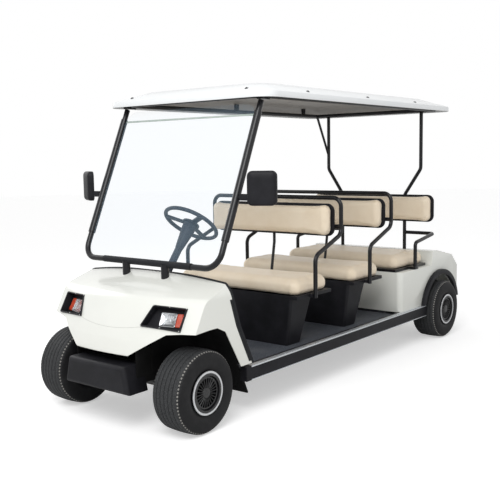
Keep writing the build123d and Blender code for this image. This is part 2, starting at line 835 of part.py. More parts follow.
screen_rake = degrees(atan2(screen_high[0] - screen_low[0], screen_high[1] - screen_low[1]))
screen_plane = Plane(origin=(0, screen_low[0], screen_low[1]), x_dir=(1, 0, 0),
                     z_dir=(0, -cos(radians(screen_rake)), sin(radians(screen_rake))))
screen_length = hypot(screen_high[0] - screen_low[0], screen_high[1] - screen_low[1])
pane_inset = post_radius + seat_gap
with BuildPart() as windscreen_panel:
    with BuildSketch(screen_plane.offset(-glass_thickness / 2)):
        with Locations((0, screen_length / 2)):
            RectangleRounded(2 * (post_x - sleeve_radius - seat_gap), screen_length - 2 * pane_inset,
                             screen_bend - pane_inset)
    extrude(amount=glass_thickness)
keep(windscreen_panel, "windscreen_panel")

# Roof: a shallow tray upside down with a sloping rim, on a tube frame
roof_y = (back(roof_front), back(roof_rear))
roof_mid = (roof_y[0] + roof_y[1]) / 2
roof_long = roof_y[1] - roof_y[0]


def roof_form(inset):
    with BuildPart() as form:
        with BuildSketch(Plane.XY.offset(roof_edge_z - inset * 2)):
            with Locations((0, roof_mid)):
                RectangleRounded(2 * (roof_half_width - inset), roof_long - 2 * inset, roof_corner - inset)
        extrude(amount=roof_lip + inset)
        with BuildSketch(Plane.XY.offset(roof_edge_z + roof_lip - inset)):
            with Locations((0, roof_mid)):
                RectangleRounded(2 * (roof_half_width - inset), roof_long - 2 * inset, roof_corner - inset)
        with BuildSketch(Plane.XY.offset(roof_edge_z + roof_lip + roof_rise - inset)):
            with Locations((0, roof_mid)):
                RectangleRounded(2 * (roof_half_width - roof_slope), roof_long - 2 * roof_slope, roof_corner)
        loft(ruled=True)
    return form.part


with BuildPart() as roof_canopy:
    add(roof_form(0.0))
    add(roof_form(roof_wall), mode=Mode.SUBTRACT)
keep(roof_canopy, "roof_canopy")

post_y = back(rear_post)
clamp_z = screen_high[1] + post_radius * sin(radians(screen_rake)) + seat_gap
with BuildPart() as roof_pads:
    for side in (-1, 1):
        for share in (0.1, 0.5, 0.9):
            pad_y = screen_high[0] + share * (post_y - screen_high[0])
            add(block((side * (rail_x - rail_radius / 2), side * (rail_x + rail_radius / 2)),
                      (pad_y - pad_width / 2, pad_y + pad_width / 2),
                      (rail_z, roof_edge_z + roof_lip + roof_rise)))
    add(roof_form(roof_wall + seat_gap), mode=Mode.INTERSECT)
with BuildPart() as roof_frame:
    add(tube([(rail_x, post_y, rail_z), (rail_x, screen_high[0], rail_z), (-rail_x, screen_high[0], rail_z),
              (-rail_x, post_y, rail_z)], rail_radius, bend=hoop_bend))
    add(tube([(-rail_x, post_y, rail_z), (rail_x, post_y, rail_z)], rail_radius))
    add(roof_pads.part)
    for side in (-1, 1):
        add(block((side * (post_x - post_radius), side * (post_x + post_radius)),
                  (screen_high[0] - post_radius, screen_high[0] + hoop_bend),
                  (clamp_z, rail_z)))
keep(roof_frame, "roof_frame")

with BuildPart() as rear_posts:
    for side in (-1, 1):
        add(tube([(side * rear_post_x, post_y, rail_z - rail_radius - seat_gap),
                  (side * rear_post_x, post_y, post_bend_z),
                  (side * post_foot_x, post_y, post_foot_z),
                  (side * post_foot_x, post_y, body_deck_z + seat_gap)], rear_post_radius, bend=hoop_bend))
keep(rear_posts, "rear_posts")

# Seats: each row has a tapered box, a hoop of tube, a cushion that lifts and a backrest on a moulded shell
seat_plates = [(back(foot) - box_fore, cushion_depth - cushion_fore + box_fore, cushion_z - seat_gap,
                back(foot), box_depth) for row, foot in seat_rows]
with BuildPart() as seat_boxes:
    for row, foot in seat_rows:
        row_y = back(foot)
        front = row_y - box_fore
        pan_top = pan_z + floor_thickness
        with BuildSketch(Plane.XY.offset(pan_top)):
            with Locations((0, front + box_foot_depth / 2)):
                RectangleRounded(2 * box_foot_half_width, box_foot_depth, box_wall * 4)
        with BuildSketch(Plane.XY.offset(cushion_z - seat_gap)):
            with Locations((0, front + box_depth / 2)):
                RectangleRounded(2 * box_half_width, box_depth, box_wall * 4)
        loft(ruled=True)
    for row, foot in seat_rows:
        row_y = back(foot)
        front = row_y - box_fore
        with BuildSketch(Plane.XY.offset(pan_top + box_wall)):
            with Locations((0, front + box_foot_depth / 2)):
                RectangleRounded(2 * box_foot_half_width - 2 * box_wall, box_foot_depth - 2 * box_wall,
                                 box_wall * 3)
        with BuildSketch(Plane.XY.offset(cushion_z - seat_gap)):
            with Locations((0, front + box_depth / 2)):
                RectangleRounded(2 * box_half_width - 2 * box_wall, box_depth - 2 * box_wall, box_wall * 3)
        loft(ruled=True, mode=Mode.SUBTRACT)
    for front, depth, plate_top, foot_y, box_span in seat_plates:
        with BuildSketch(Plane.XY.offset(plate_top - seat_plate)):
            with Locations((0, front + depth / 2)):
                Rectangle(2 * seat_plate_half_width, depth)
            with Locations((0, foot_y)):
                Rectangle(2 * (hoop_x - hoop_radius - seat_gap), seat_tab)
            with Locations((0, front + box_span / 2)):
                Rectangle(2 * (box_half_width - box_wall), box_span - 2 * box_wall, mode=Mode.SUBTRACT)
        extrude(amount=seat_plate)
keep(seat_boxes, "seat_boxes")

for row, foot in seat_rows:
    row_y = back(foot)
    back_y = row_y + hoop_back
    points = []
    for side in (1, -1):
        leg = [(side * hoop_x, row_y, hoop_foot_z), (side * hoop_x, row_y, hoop_elbow_z),
               (side * hoop_x, back_y, hoop_knee_z),
               (side * hoop_x, back_y, hoop_top_z)]
        points += leg if side == 1 else leg[::-1]
    bar_z = back_z + back_height * back_bar_share
    strut_y = row_y - cushion_fore + cushion_depth + seat_gap + strut_radius
    with BuildPart() as seat_rail:
        add(tube(points, hoop_radius, bend=hoop_bend))
        add(tube([(-hoop_x, back_y, bar_z), (hoop_x, back_y, bar_z)], hoop_radius))
        add(tube([(0, back_y, bar_z), (0, back_y, back_z - hoop_bend), (0, strut_y, hoop_foot_z)],
                 strut_radius, bend=hoop_bend))
    keep(seat_rail, "seat_rail_" + row)

third_plate_top = third_cushion_z - seat_gap
with BuildPart() as seat_arms:
    for side in (-1, 1):
        add(tube([(side * (post_foot_x + rear_post_radius + seat_gap), post_y, third_arm_z),
                  (side * hoop_x, post_y, third_arm_z),
                  (side * hoop_x, back(third_foot), third_arm_z - third_arm_drop),
                  (side * hoop_x, back(third_foot), third_plate_top + seat_gap)],
                 hoop_radius, bend=hoop_bend / 2))
keep(seat_arms, "seat_arms_3")

with BuildPart() as seat_frame_3:
    with BuildSketch(Plane.XY.offset(body_seat_z + seat_gap)):
        with Locations((0, body_face + third_cushion_depth / 2)):
            Rectangle(2 * seat_plate_half_width, third_cushion_depth - 2 * seat_gap)
        with Locations((0, back(third_foot))):
            Rectangle(2 * (hoop_x + hoop_radius), 2 * seat_tab)
        with Locations((0, body_face + third_cushion_depth / 2)):
            Rectangle(2 * (box_half_width - box_wall), third_cushion_depth - 2 * seat_tab, mode=Mode.SUBTRACT)
    extrude(amount=third_plate_top - body_seat_z - seat_gap)
keep(seat_frame_3, "seat_frame_3")

cushions = [("1", back(seat_rows[0][1]) - cushion_fore, cushion_depth, cushion_z),
            ("2", back(seat_rows[1][1]) - cushion_fore, cushion_depth, cushion_z),
            ("3", body_face, third_cushion_depth, third_cushion_z)]
for row, front, depth, base_z in cushions:
    with BuildPart() as seat_cushion:
        with BuildSketch(Plane.XY.offset(base_z)):
            with Locations((0, front + depth / 2)):
                RectangleRounded(2 * cushion_half_width, depth, cushion_round * 2)
        extrude(amount=cushion_height)
        fillet(seat_cushion.faces().sort_by(Axis.Z)[-1].edges(), radius=cushion_round)
    keep(seat_cushion, "seat_cushion_" + row)

backs = [(back(seat_rows[0][1]) + hoop_back - hoop_radius - back_shell - back_thickness - seat_gap,
          back_half_width, back_z),
         (back(seat_rows[1][1]) + hoop_back - hoop_radius - back_shell - back_thickness - seat_gap,
          back_half_width, back_z),
         (post_y - rear_post_radius - back_shell - back_thickness - seat_gap, third_back_half_width,
          back_z - box_wall)]
with BuildPart() as backrests:
    for front, half_width, low in backs:
        with BuildSketch(Plane.XZ.offset(-front - back_thickness + seat_gap)):
            with Locations((0, low + back_height / 2)):
                RectangleRounded(2 * half_width, back_height, back_round * 2)
        extrude(amount=back_thickness - seat_gap)
keep(backrests, "backrests")

with BuildPart() as backrest_shells:
    for front, half_width, low in backs:
        with BuildSketch(Plane.XZ.offset(-front - back_thickness - back_shell)):
            with Locations((0, low + back_height / 2)):
                RectangleRounded(2 * half_width, back_height, back_round * 2)
        extrude(amount=back_shell)
keep(backrest_shells, "backrest_shells")

# Rear body: a hollow moulding that carries the third row and the rear deck
body_tail_end = car_length / 2 - rear_bumper_depth - seat_gap
body_bottom_z = sill_top_z + seat_gap


def body_form(inset):
    with BuildPart() as form:
        with BuildSketch(Plane.YZ.offset(-body_half_width + inset)):
            with BuildLine():
                Polyline((body_face + inset, body_bottom_z - inset), (body_face + inset, body_seat_z - inset),
                         (back(body_shelf) + inset, body_seat_z - inset),
                         (back(body_shelf) + body_riser + inset, body_deck_z - inset),
                         (back(body_deck) - inset, body_deck_z - inset),
                         (back(body_tail) - inset, body_tail_z - inset),
                         (body_tail_end - inset, body_end_z),
                         (body_tail_end - inset, body_bottom_z - inset), close=True)
            make_face()
        extrude(amount=2 * (body_half_width - inset))
        fillet(form.edges().filter_by(Axis.Z), radius=body_round - inset)
    return form.part


with BuildPart() as rear_body:
    add(body_form(0.0))
    add(body_form(shell_wall), mode=Mode.SUBTRACT)
    add(block((-box_half_width + box_wall, box_half_width - box_wall),
              (body_face + seat_tab, body_face + third_cushion_depth - seat_tab),
              (body_seat_z - 2 * shell_wall, body_seat_z + overrun)), mode=Mode.SUBTRACT)
    for side in (-1, 1):
        add(tube([(side * (body_half_width - rear_arch_depth), rear_axle_y, tyre_radius),
                  (side * (body_half_width + overrun), rear_axle_y, tyre_radius)], rear_arch_radius),
                  mode=Mode.SUBTRACT)
keep(rear_body, "rear_body")

with BuildPart() as rear_flares:
    for side in (-1, 1):
        add(tube([(side * (body_half_width + seat_gap), rear_axle_y, tyre_radius),
                  (side * (body_half_width + flare_lip), rear_axle_y, tyre_radius)],
                  rear_arch_radius + flare_width, bore=rear_arch_radius))
    with BuildSketch(Plane.XY.offset(sill_top_z + seat_gap)):
        with Locations((0, rear_axle_y)):
            Rectangle(3 * body_half_width, 3 * rear_arch_radius)
    extrude(amount=rear_arch_radius * 2, mode=Mode.INTERSECT)
keep(rear_flares, "rear_flares")

with BuildPart() as tail_lamps:
    for side in (-1, 1):
        add(block((side * (tail_lamp_x - tail_lamp_width / 2), side * (tail_lamp_x + tail_lamp_width / 2)),
                  (body_tail_end + seat_gap, body_tail_end + tail_lamp_depth),
                  (tail_lamp_z - tail_lamp_height / 2, tail_lamp_z + tail_lamp_height / 2)))
keep(tail_lamps, "tail_lamps")

bumper_rear = car_length / 2
with BuildPart() as rear_bumper:
    with BuildSketch(Plane.XY.offset(rear_bumper_z)):
        with Locations((0, bumper_rear - rear_bumper_depth / 2)):
            Rectangle(2 * rear_bumper_half, rear_bumper_depth)
    extrude(amount=rear_bumper_height)
    fillet(rear_bumper.edges().filter_by(Axis.Z).sort_by(Axis.Y)[-2:], radius=bumper_round)
keep(rear_bumper, "rear_bumper")

# Steering wheel and column
steer_y = back(steer_y_back)
steer_axis = (0, sin(radians(steer_lean)), cos(radians(steer_lean)))
steer_plane = Plane(origin=(steer_x, steer_y, steer_z), x_dir=(1, 0, 0), z_dir=steer_axis)
with BuildPart() as steering_wheel:
    with BuildSketch(Plane(origin=steer_plane.origin + steer_plane.x_dir * steer_ring_radius,
                           x_dir=steer_plane.x_dir, z_dir=steer_plane.y_dir)):
        Circle(steer_ring_tube)
    revolve(axis=Axis(steer_plane.origin, steer_plane.z_dir))
    with BuildSketch(steer_plane.offset(-steer_hub_height)):
        Circle(steer_hub_radius)
    extrude(amount=steer_hub_height)
    with BuildSketch(steer_plane.offset(-spoke_thickness)):
        with PolarLocations(steer_ring_radius / 2, 3, start_angle=90):
            Rectangle(steer_ring_radius - steer_ring_tube / 2, spoke_width)
    extrude(amount=spoke_thickness)
keep(steering_wheel, "steering_wheel")


def toe_top(y):
    # the height at which a piece stands on the sloping toe board
    slope = frame_kick / (frame_kick_run - toe_thickness / 2)
    return pan_z + toe_thickness + seat_gap + (toe_low[0] - y) * slope


with BuildPart() as steering_column:
    with BuildSketch(steer_plane.offset(-steer_hub_height - seat_gap)):
        Circle(column_radius)
    extrude(amount=-steer_z)
    with BuildSketch(Plane.YZ.offset(-toe_half_width - overrun)):
        with BuildLine():
            Polyline(*[(y + seat_gap, z + seat_gap) for y, z in toe_tops],
                     (toe_high[0] - steer_z, toe_high[1]),
                     (toe_high[0] - steer_z, -steer_z), (toe_low[0] + seat_gap, -steer_z), close=True)
        make_face()
    extrude(amount=2 * (toe_half_width + overrun), mode=Mode.SUBTRACT)
keep(steering_column, "steering_column")

pedal_low = toe_low[0] - frame_kick_run * pedal_low_share
pedal_high = toe_low[0] - frame_kick_run * pedal_high_share
with BuildPart() as pedals:
    for index in (0, 1):
        centre_x = pedal_x - (2 * index - 1) * pedal_pitch / 2
        with BuildSketch(Plane.YZ.offset(centre_x - pedal_plate)):
            with BuildLine():
                Polyline((pedal_low, toe_top(pedal_low)), (pedal_high, toe_top(pedal_high)),
                         (pedal_high + pedal_stand, toe_top(pedal_high) + pedal_rise),
                         (pedal_high + pedal_stand + pedal_plate,
                          toe_top(pedal_high) + pedal_rise - pedal_plate), close=True)
            make_face()
        extrude(amount=2 * pedal_plate)
        pad = Plane(origin=(centre_x, pedal_high + pedal_stand, toe_top(pedal_high) + pedal_rise),
                    x_dir=(1, 0, 0),
                    z_dir=(0, cos(radians(steer_lean)), sin(radians(steer_lean))))
        with BuildSketch(pad):
            RectangleRounded(pedal_width, pedal_height, pedal_plate)
        extrude(amount=pedal_plate)
keep(pedals, "pedals")

with BuildPart() as battery_block:
    add(block((-battery_half_width, battery_half_width),
              (back(battery_back), back(battery_back) + battery_depth),
              (pan_z + seat_gap, pan_z + battery_height)))
keep(battery_block, "battery_block")

with BuildPart() as mirrors:
    for side in (-1, 1):
        arm_root = on_post(mirror_arm_share, side * (post_x + sleeve_radius + seat_gap))
        add(block((side * (mirror_x - mirror_width / 2), side * (mirror_x + mirror_width / 2)),
                  (back(mirror_back), back(mirror_back) + mirror_depth),
                  (mirror_z - mirror_height / 2, mirror_z + mirror_height / 2)))
        add(tube([arm_root, (side * (mirror_x - mirror_width / 4), arm_root[1], arm_root[2])],
                 mirror_arm_radius))
keep(mirrors, "mirrors")
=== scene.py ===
import json
import math

import bmesh
import bpy
from mathutils import Matrix, Vector
from mathutils.bvhtree import BVHTree

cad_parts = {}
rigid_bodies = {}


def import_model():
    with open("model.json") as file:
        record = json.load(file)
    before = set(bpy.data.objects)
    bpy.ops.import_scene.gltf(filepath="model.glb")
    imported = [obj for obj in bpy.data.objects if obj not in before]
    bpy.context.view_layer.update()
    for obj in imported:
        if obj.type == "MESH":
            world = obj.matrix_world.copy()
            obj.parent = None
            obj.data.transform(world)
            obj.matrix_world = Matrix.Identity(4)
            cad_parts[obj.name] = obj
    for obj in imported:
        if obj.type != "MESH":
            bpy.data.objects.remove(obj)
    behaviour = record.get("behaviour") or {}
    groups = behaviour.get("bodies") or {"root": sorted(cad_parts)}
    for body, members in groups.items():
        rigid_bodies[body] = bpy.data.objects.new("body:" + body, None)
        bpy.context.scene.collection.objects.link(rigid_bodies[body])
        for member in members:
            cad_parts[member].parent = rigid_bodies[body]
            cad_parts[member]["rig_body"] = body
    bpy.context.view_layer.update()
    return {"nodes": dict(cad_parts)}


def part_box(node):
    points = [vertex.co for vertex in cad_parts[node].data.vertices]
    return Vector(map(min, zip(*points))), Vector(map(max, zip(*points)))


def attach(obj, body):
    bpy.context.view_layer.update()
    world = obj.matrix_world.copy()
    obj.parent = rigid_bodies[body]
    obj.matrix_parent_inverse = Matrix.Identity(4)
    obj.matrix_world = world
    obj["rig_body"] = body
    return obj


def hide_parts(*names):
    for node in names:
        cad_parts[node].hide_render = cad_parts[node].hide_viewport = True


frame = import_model()
scene = bpy.context.scene
cad = frame["nodes"]
wheelCorners = ("front_left", "front_right", "rear_left", "rear_right")
even = (1.0, 1.0, 1.0)


class Wire:
    # one output socket of a node; sums on it add Math nodes to the same tree
    def __init__(self, maker, socket):
        self.maker = maker
        self.socket = socket

    def maths(self, operation, *others):
        return self.maker.add("ShaderNodeMath", {"operation": operation}, dict(enumerate((self, *others))))

    def __add__(self, other):
        return self.maths("ADD", other)

    def __sub__(self, other):
        return self.maths("SUBTRACT", other)

    def __mul__(self, other):
        return self.maths("MULTIPLY", other)

    def __truediv__(self, other):
        return self.maths("DIVIDE", other)

    def __rsub__(self, other):
        return self.maker.add("ShaderNodeMath", {"operation": "SUBTRACT"}, {0: other, 1: self})

    __radd__ = __add__
    __rmul__ = __mul__

    def sine(self):
        return self.maths("SINE")

    def band(self, low, high, start=0.0, end=1.0):
        # start to end as the value goes from low to high
        values = {"Value": self, "From Min": low, "From Max": high, "To Min": start, "To Max": end}
        return self.maker.add("ShaderNodeMapRange", {"interpolation_type": "SMOOTHSTEP"}, values)


class NodeMaker:
    # adds nodes to any tree: type, settings first, then socket values or links
    def __init__(self, tree):
        self.tree = tree

    def add(self, kind, settings=None, values=None, out=0):
        made = self.tree.nodes.new(kind)
        for key, value in (settings or {}).items():
            setattr(made, key, value)
        for key, value in (values or {}).items():
            if isinstance(value, Wire):
                self.tree.links.new(value.socket, made.inputs[key])
            else:
                made.inputs[key].default_value = value
        return Wire(self, made.outputs[out])


class Finish(NodeMaker):
    # a material on the Principled shader, with helpers for grain, wear and relief
    def __init__(self, name, shade, **sockets):
        self.material = bpy.data.materials.new(name)
        self.material.use_nodes = True
        self.material.diffuse_color = (*shade, 1.0)
        super().__init__(self.material.node_tree)
        self.tree.nodes.clear()
        self.shader = self.tree.nodes.new("ShaderNodeBsdfPrincipled")
        self.output = self.tree.nodes.new("ShaderNodeOutputMaterial")
        self.tree.links.new(self.shader.outputs[0], self.output.inputs["Surface"])
        self.set("Base Color", (*shade, 1.0))
        for key, value in sockets.items():
            self.set(key.replace("_", " "), value)
        self.place = self.add("ShaderNodeTexCoord", out=3)
        self.heights = []

    def set(self, socket, value):
        target = self.shader.inputs[socket]
        if isinstance(value, Wire):
            self.tree.links.new(value.socket, target)
        else:
            target.default_value = value

    def noise(self, scale, detail=4.0, rough=0.55, stretch=None):
        return self.add("ShaderNodeTexNoise", {"noise_dimensions": "3D"}, {
            "Vector": self.stretched(stretch) if stretch else self.place,
            "Scale": scale, "Detail": detail, "Roughness": rough})

    def cells(self, scale, feature="F1"):
        return self.add("ShaderNodeTexVoronoi", {"feature": feature}, {
            "Vector": self.place, "Scale": scale, "Randomness": 1.0})

    def stretched(self, factors):
        return self.add("ShaderNodeMapping", {"vector_type": "POINT"}, {
            "Vector": self.place, "Scale": factors})

    def painted(self, title):
        return self.add("ShaderNodeAttribute", {"attribute_name": title}, out=2)

    def axis(self, letter):
        split = self.tree.nodes.new("ShaderNodeSeparateXYZ")
        self.tree.links.new(self.place.socket, split.inputs[0])
        return Wire(self, split.outputs["XYZ".index(letter)])

    def mix(self, factor, first, second):
        ends = [(*end, 1.0) if isinstance(end, tuple) else end for end in (first, second)]
        return self.add("ShaderNodeMix", {"data_type": "RGBA", "blend_type": "MIX", "clamp_factor": True},
                        {0: factor, 6: ends[0], 7: ends[1]}, out=2)

    def relief(self, height, depth, strength):
        # bumps stack: each new one feeds on the last one's normal; depth in metres
        values = {"Height": height, "Distance": depth, "Strength": strength}
        if self.heights:
            values["Normal"] = self.heights[-1]
        self.heights.append(self.add("ShaderNodeBump", {}, values))
        self.set("Normal", self.heights[-1])


class GeometryMaker(NodeMaker):
    # a Geometry Nodes tree with named inputs, run once and turned into a plain mesh
    def __init__(self, name, inputs):
        tree = bpy.data.node_groups.new(name, "GeometryNodeTree")
        super().__init__(tree)
        tree.interface.new_socket("Base", in_out="INPUT", socket_type="NodeSocketGeometry")
        self.identifiers = {}
        for title, value in inputs.items():
            kind = "NodeSocketInt" if isinstance(value, int) else "NodeSocketFloat"
            item = tree.interface.new_socket(title, in_out="INPUT", socket_type=kind)
            item.default_value = value
            self.identifiers[title] = item.identifier
        tree.interface.new_socket("Result", in_out="OUTPUT", socket_type="NodeSocketGeometry")
        self.entry = tree.nodes.new("NodeGroupInput")

    def given(self, *titles):
        wires = [Wire(self, self.entry.outputs[title]) for title in titles]
        return wires if len(wires) > 1 else wires[0]

    def joined(self, *parts):
        gather = self.tree.nodes.new("GeometryNodeJoinGeometry")
        for part in parts:
            self.tree.links.new(part.socket, gather.inputs[0])
        return Wire(self, gather.outputs[0])

    def vector(self, x=0.0, y=0.0, z=0.0):
        return self.add("ShaderNodeCombineXYZ", {}, {0: x, 1: y, 2: z})

    def ending(self, geometry, finish):
        real = self.add("GeometryNodeRealizeInstances", {}, {0: geometry})
        covered = self.add("GeometryNodeSetMaterial", {}, {"Geometry": real, "Material": finishes[finish]})
        end = self.tree.nodes.new("NodeGroupOutput")
        self.tree.links.new(covered.socket, end.inputs[0])

    def grown(self, name, base, values):
        holder = bpy.data.objects.new(name, base)
        scene.collection.objects.link(holder)
        modifier = holder.modifiers.new(name, "NODES")
        modifier.node_group = self.tree
        for title, value in values.items():
            modifier[self.identifiers[title]] = value
        applyModifiers(holder)
        mesh = holder.data
        bpy.data.objects.remove(holder)
        return mesh


def scaled(shade, factor):
    return tuple(part * factor for part in shade)


def glossPaint(name, shade, look):
    f = Finish(name, shade, IOR=1.5, Coat_Roughness=0.08)
    cloud = f.noise(look["cloud"], detail=3.0)
    dust = f.axis("Z").band(look["dustLow"], look["dustHigh"], 1.0, 0.0) * f.noise(14.0, detail=6.0)
    tint = f.mix(cloud.band(0.35, 0.7), shade, scaled(shade, look["deep"]))
    f.set("Base Color", f.mix(dust * look["dust"], tint, look["dustShade"]))
    f.set("Roughness", look["rough"] + f.noise(60.0, detail=5.0) * 0.10)
    f.set("Coat Weight", 0.55 + cloud * 0.2)
    f.relief(f.noise(220.0, detail=2.0), depth=0.00025, strength=0.22)
    return f.material


def canopyPaint(name, shade, look):
    f = Finish(name, shade, IOR=1.5, Coat_Roughness=0.10)
    under = f.painted("under")
    cloud = f.noise(look["cloud"], detail=5.0, rough=0.6)
    stain = f.noise(4.0, detail=7.0, rough=0.65).band(0.45, 0.75)
    top = f.mix(cloud.band(0.35, 0.7), shade, look["top"])
    # the underside gets a dark mottled colour: painted shade, as the same white plastic lies in shade there
    below = f.mix(stain, look["below"], look["stain"])
    f.set("Base Color", f.mix(under, top, below))
    f.set("Roughness", look["rough"] + cloud * 0.12 + under * 0.2)
    f.set("Coat Weight", 0.4 - under * 0.4)
    f.relief(f.noise(180.0, detail=3.0), depth=0.0003, strength=0.25)
    return f.material


def mouldedPlastic(name, shade, look):
    f = Finish(name, shade, IOR=1.48)
    patch = f.noise(look["patch"], detail=5.0, rough=0.6)
    grain = f.cells(look["grain"], feature="SMOOTH_F1")
    f.set("Base Color", f.mix(patch.band(0.3, 0.75), shade, scaled(shade, look["pale"])))
    f.set("Roughness", look["rough"] + patch * 0.16)
    f.set("Specular IOR Level", look.get("shine", 0.20))
    f.relief(grain, look["depth"], strength=0.6)
    f.relief(f.noise(look["grain"] * 0.35, detail=3.0), look["depth"] * 0.8, strength=0.35)
    return f.material


def powderCoat(name, shade, look):
    f = Finish(name, shade, IOR=1.5, Coat_Roughness=0.12)
    orange = f.noise(look["orange"], detail=2.0)
    scuff = f.noise(38.0, detail=8.0, rough=0.7, stretch=(1.0, 1.0, 0.25)).band(0.62, 0.78)
    f.set("Base Color", f.mix(scuff * look["scuff"], shade, look["scuffShade"]))
    f.set("Roughness", look["rough"] + orange * 0.08 + scuff * 0.18)
    f.set("Coat Weight", 0.22 - scuff * 0.15)
    f.set("Specular IOR Level", 0.25)
    f.relief(orange, depth=0.0002, strength=0.3)
    return f.material


def castMetal(name, shade, look):
    f = Finish(name, shade, IOR=1.6)
    rough = f.noise(look["grain"], detail=7.0, rough=0.65)
    rust = f.noise(26.0, detail=9.0, rough=0.7).band(0.55, 0.75)
    f.set("Base Color", f.mix(rust * look["rust"], shade, (0.16, 0.10, 0.065)))
    f.set("Metallic", look["metal"] - rust * look["metal"] * 0.6)
    f.set("Roughness", look["rough"] + rough * 0.2)
    f.relief(rough, depth=0.0006, strength=0.5)
    return f.material


def vinylCloth(name, shade, look):
    f = Finish(name, shade, IOR=1.47, Sheen_Weight=0.12, Sheen_Roughness=0.4)
    wear = f.noise(7.0, detail=5.0, rough=0.6)
    f.set("Base Color", f.mix(wear.band(0.32, 0.72), shade, look["worn"]))
    f.set("Roughness", look["rough"] + f.noise(90.0, detail=4.0) * 0.16)
    pebble = f.cells(look["pebble"], feature="DISTANCE_TO_EDGE")
    f.relief(pebble.band(0.0, 0.12), depth=0.00022, strength=0.5)
    f.relief(f.noise(look["pebble"] * 2.3, detail=2.0), depth=0.00012, strength=0.4)
    crease = f.noise(16.0, detail=3.0, rough=0.5, stretch=(0.6, 1.4, 1.4))
    f.relief(crease, depth=0.0022, strength=look["crease"])
    return f.material


def tyreRubber(name, shade, look):
    f = Finish(name, shade, IOR=1.5, Specular_IOR_Level=0.22)
    dust = f.noise(22.0, detail=8.0, rough=0.65)
    speck = f.noise(260.0, detail=5.0, rough=0.7).band(0.42, 0.62)
    tread = f.mix(speck, look["treadDark"], look["treadLight"])
    wall = f.mix(dust.band(0.4, 0.72) * look["dust"], shade, look["dustShade"])
    f.set("Base Color", f.mix(f.painted("tread"), wall, tread))
    f.set("Roughness", look["rough"] + dust * 0.14)
    f.relief(f.noise(420.0, detail=4.0), depth=0.0003, strength=0.5)
    return f.material


def brushedMetal(name, shade, look):
    f = Finish(name, shade, IOR=1.6)
    lines = f.noise(look["scale"], detail=6.0, rough=0.7, stretch=look.get("stretch", even))
    f.set("Metallic", look["metal"] + lines * 0.05)
    f.set("Base Color", f.mix(lines.band(0.3, 0.7), shade, scaled(shade, 0.86)))
    f.set("Roughness", look["rough"] + lines * 0.16)
    f.relief(lines, depth=0.0001, strength=0.3)
    return f.material


def rubberMat(name, shade, look):
    f = Finish(name, shade, IOR=1.5)
    grit = f.noise(look["fleck"] * 0.8, detail=3.0, rough=0.7)
    mud = f.noise(5.0, detail=7.0, rough=0.6)
    base = f.mix(grit.band(0.5, 0.66), shade, look["light"])
    f.set("Base Color", f.mix(mud.band(0.4, 0.7) * 0.5, base, look["mud"]))
    f.set("Roughness", look["rough"] + mud * 0.15)
    f.relief(f.cells(look["fleck"]), depth=0.0006, strength=0.5)
    return f.material


def clearSheet(name, shade, look):
    f = Finish(name, shade, IOR=1.45, Roughness=0.04, Specular_IOR_Level=0.08)
    haze = f.noise(9.0, detail=5.0, rough=0.6)
    f.set("Alpha", look["alpha"] + haze * look["haze"])
    f.set("Base Color", f.mix(haze.band(0.3, 0.7), shade, look["second"]))
    f.relief(f.noise(3.0, detail=1.0), depth=0.001, strength=0.05)
    return f.material


def lensPlastic(name, shade, look):
    f = Finish(name, shade, IOR=1.5, Transmission_Weight=look["clear"])
    flute = (f.axis("X") * look["flutes"]).sine() * 0.5 + 0.5
    rows = (f.axis("Z") * look["rows"]).sine() * 0.5 + 0.5
    f.set("Base Color", f.mix(rows * 0.35, shade, look["deep"]))
    f.set("Roughness", look["rough"] + f.noise(80.0) * 0.06)
    f.relief(flute, look["depth"], strength=0.8)
    f.relief(rows, look["depth"] * 0.5, strength=0.5)
    return f.material


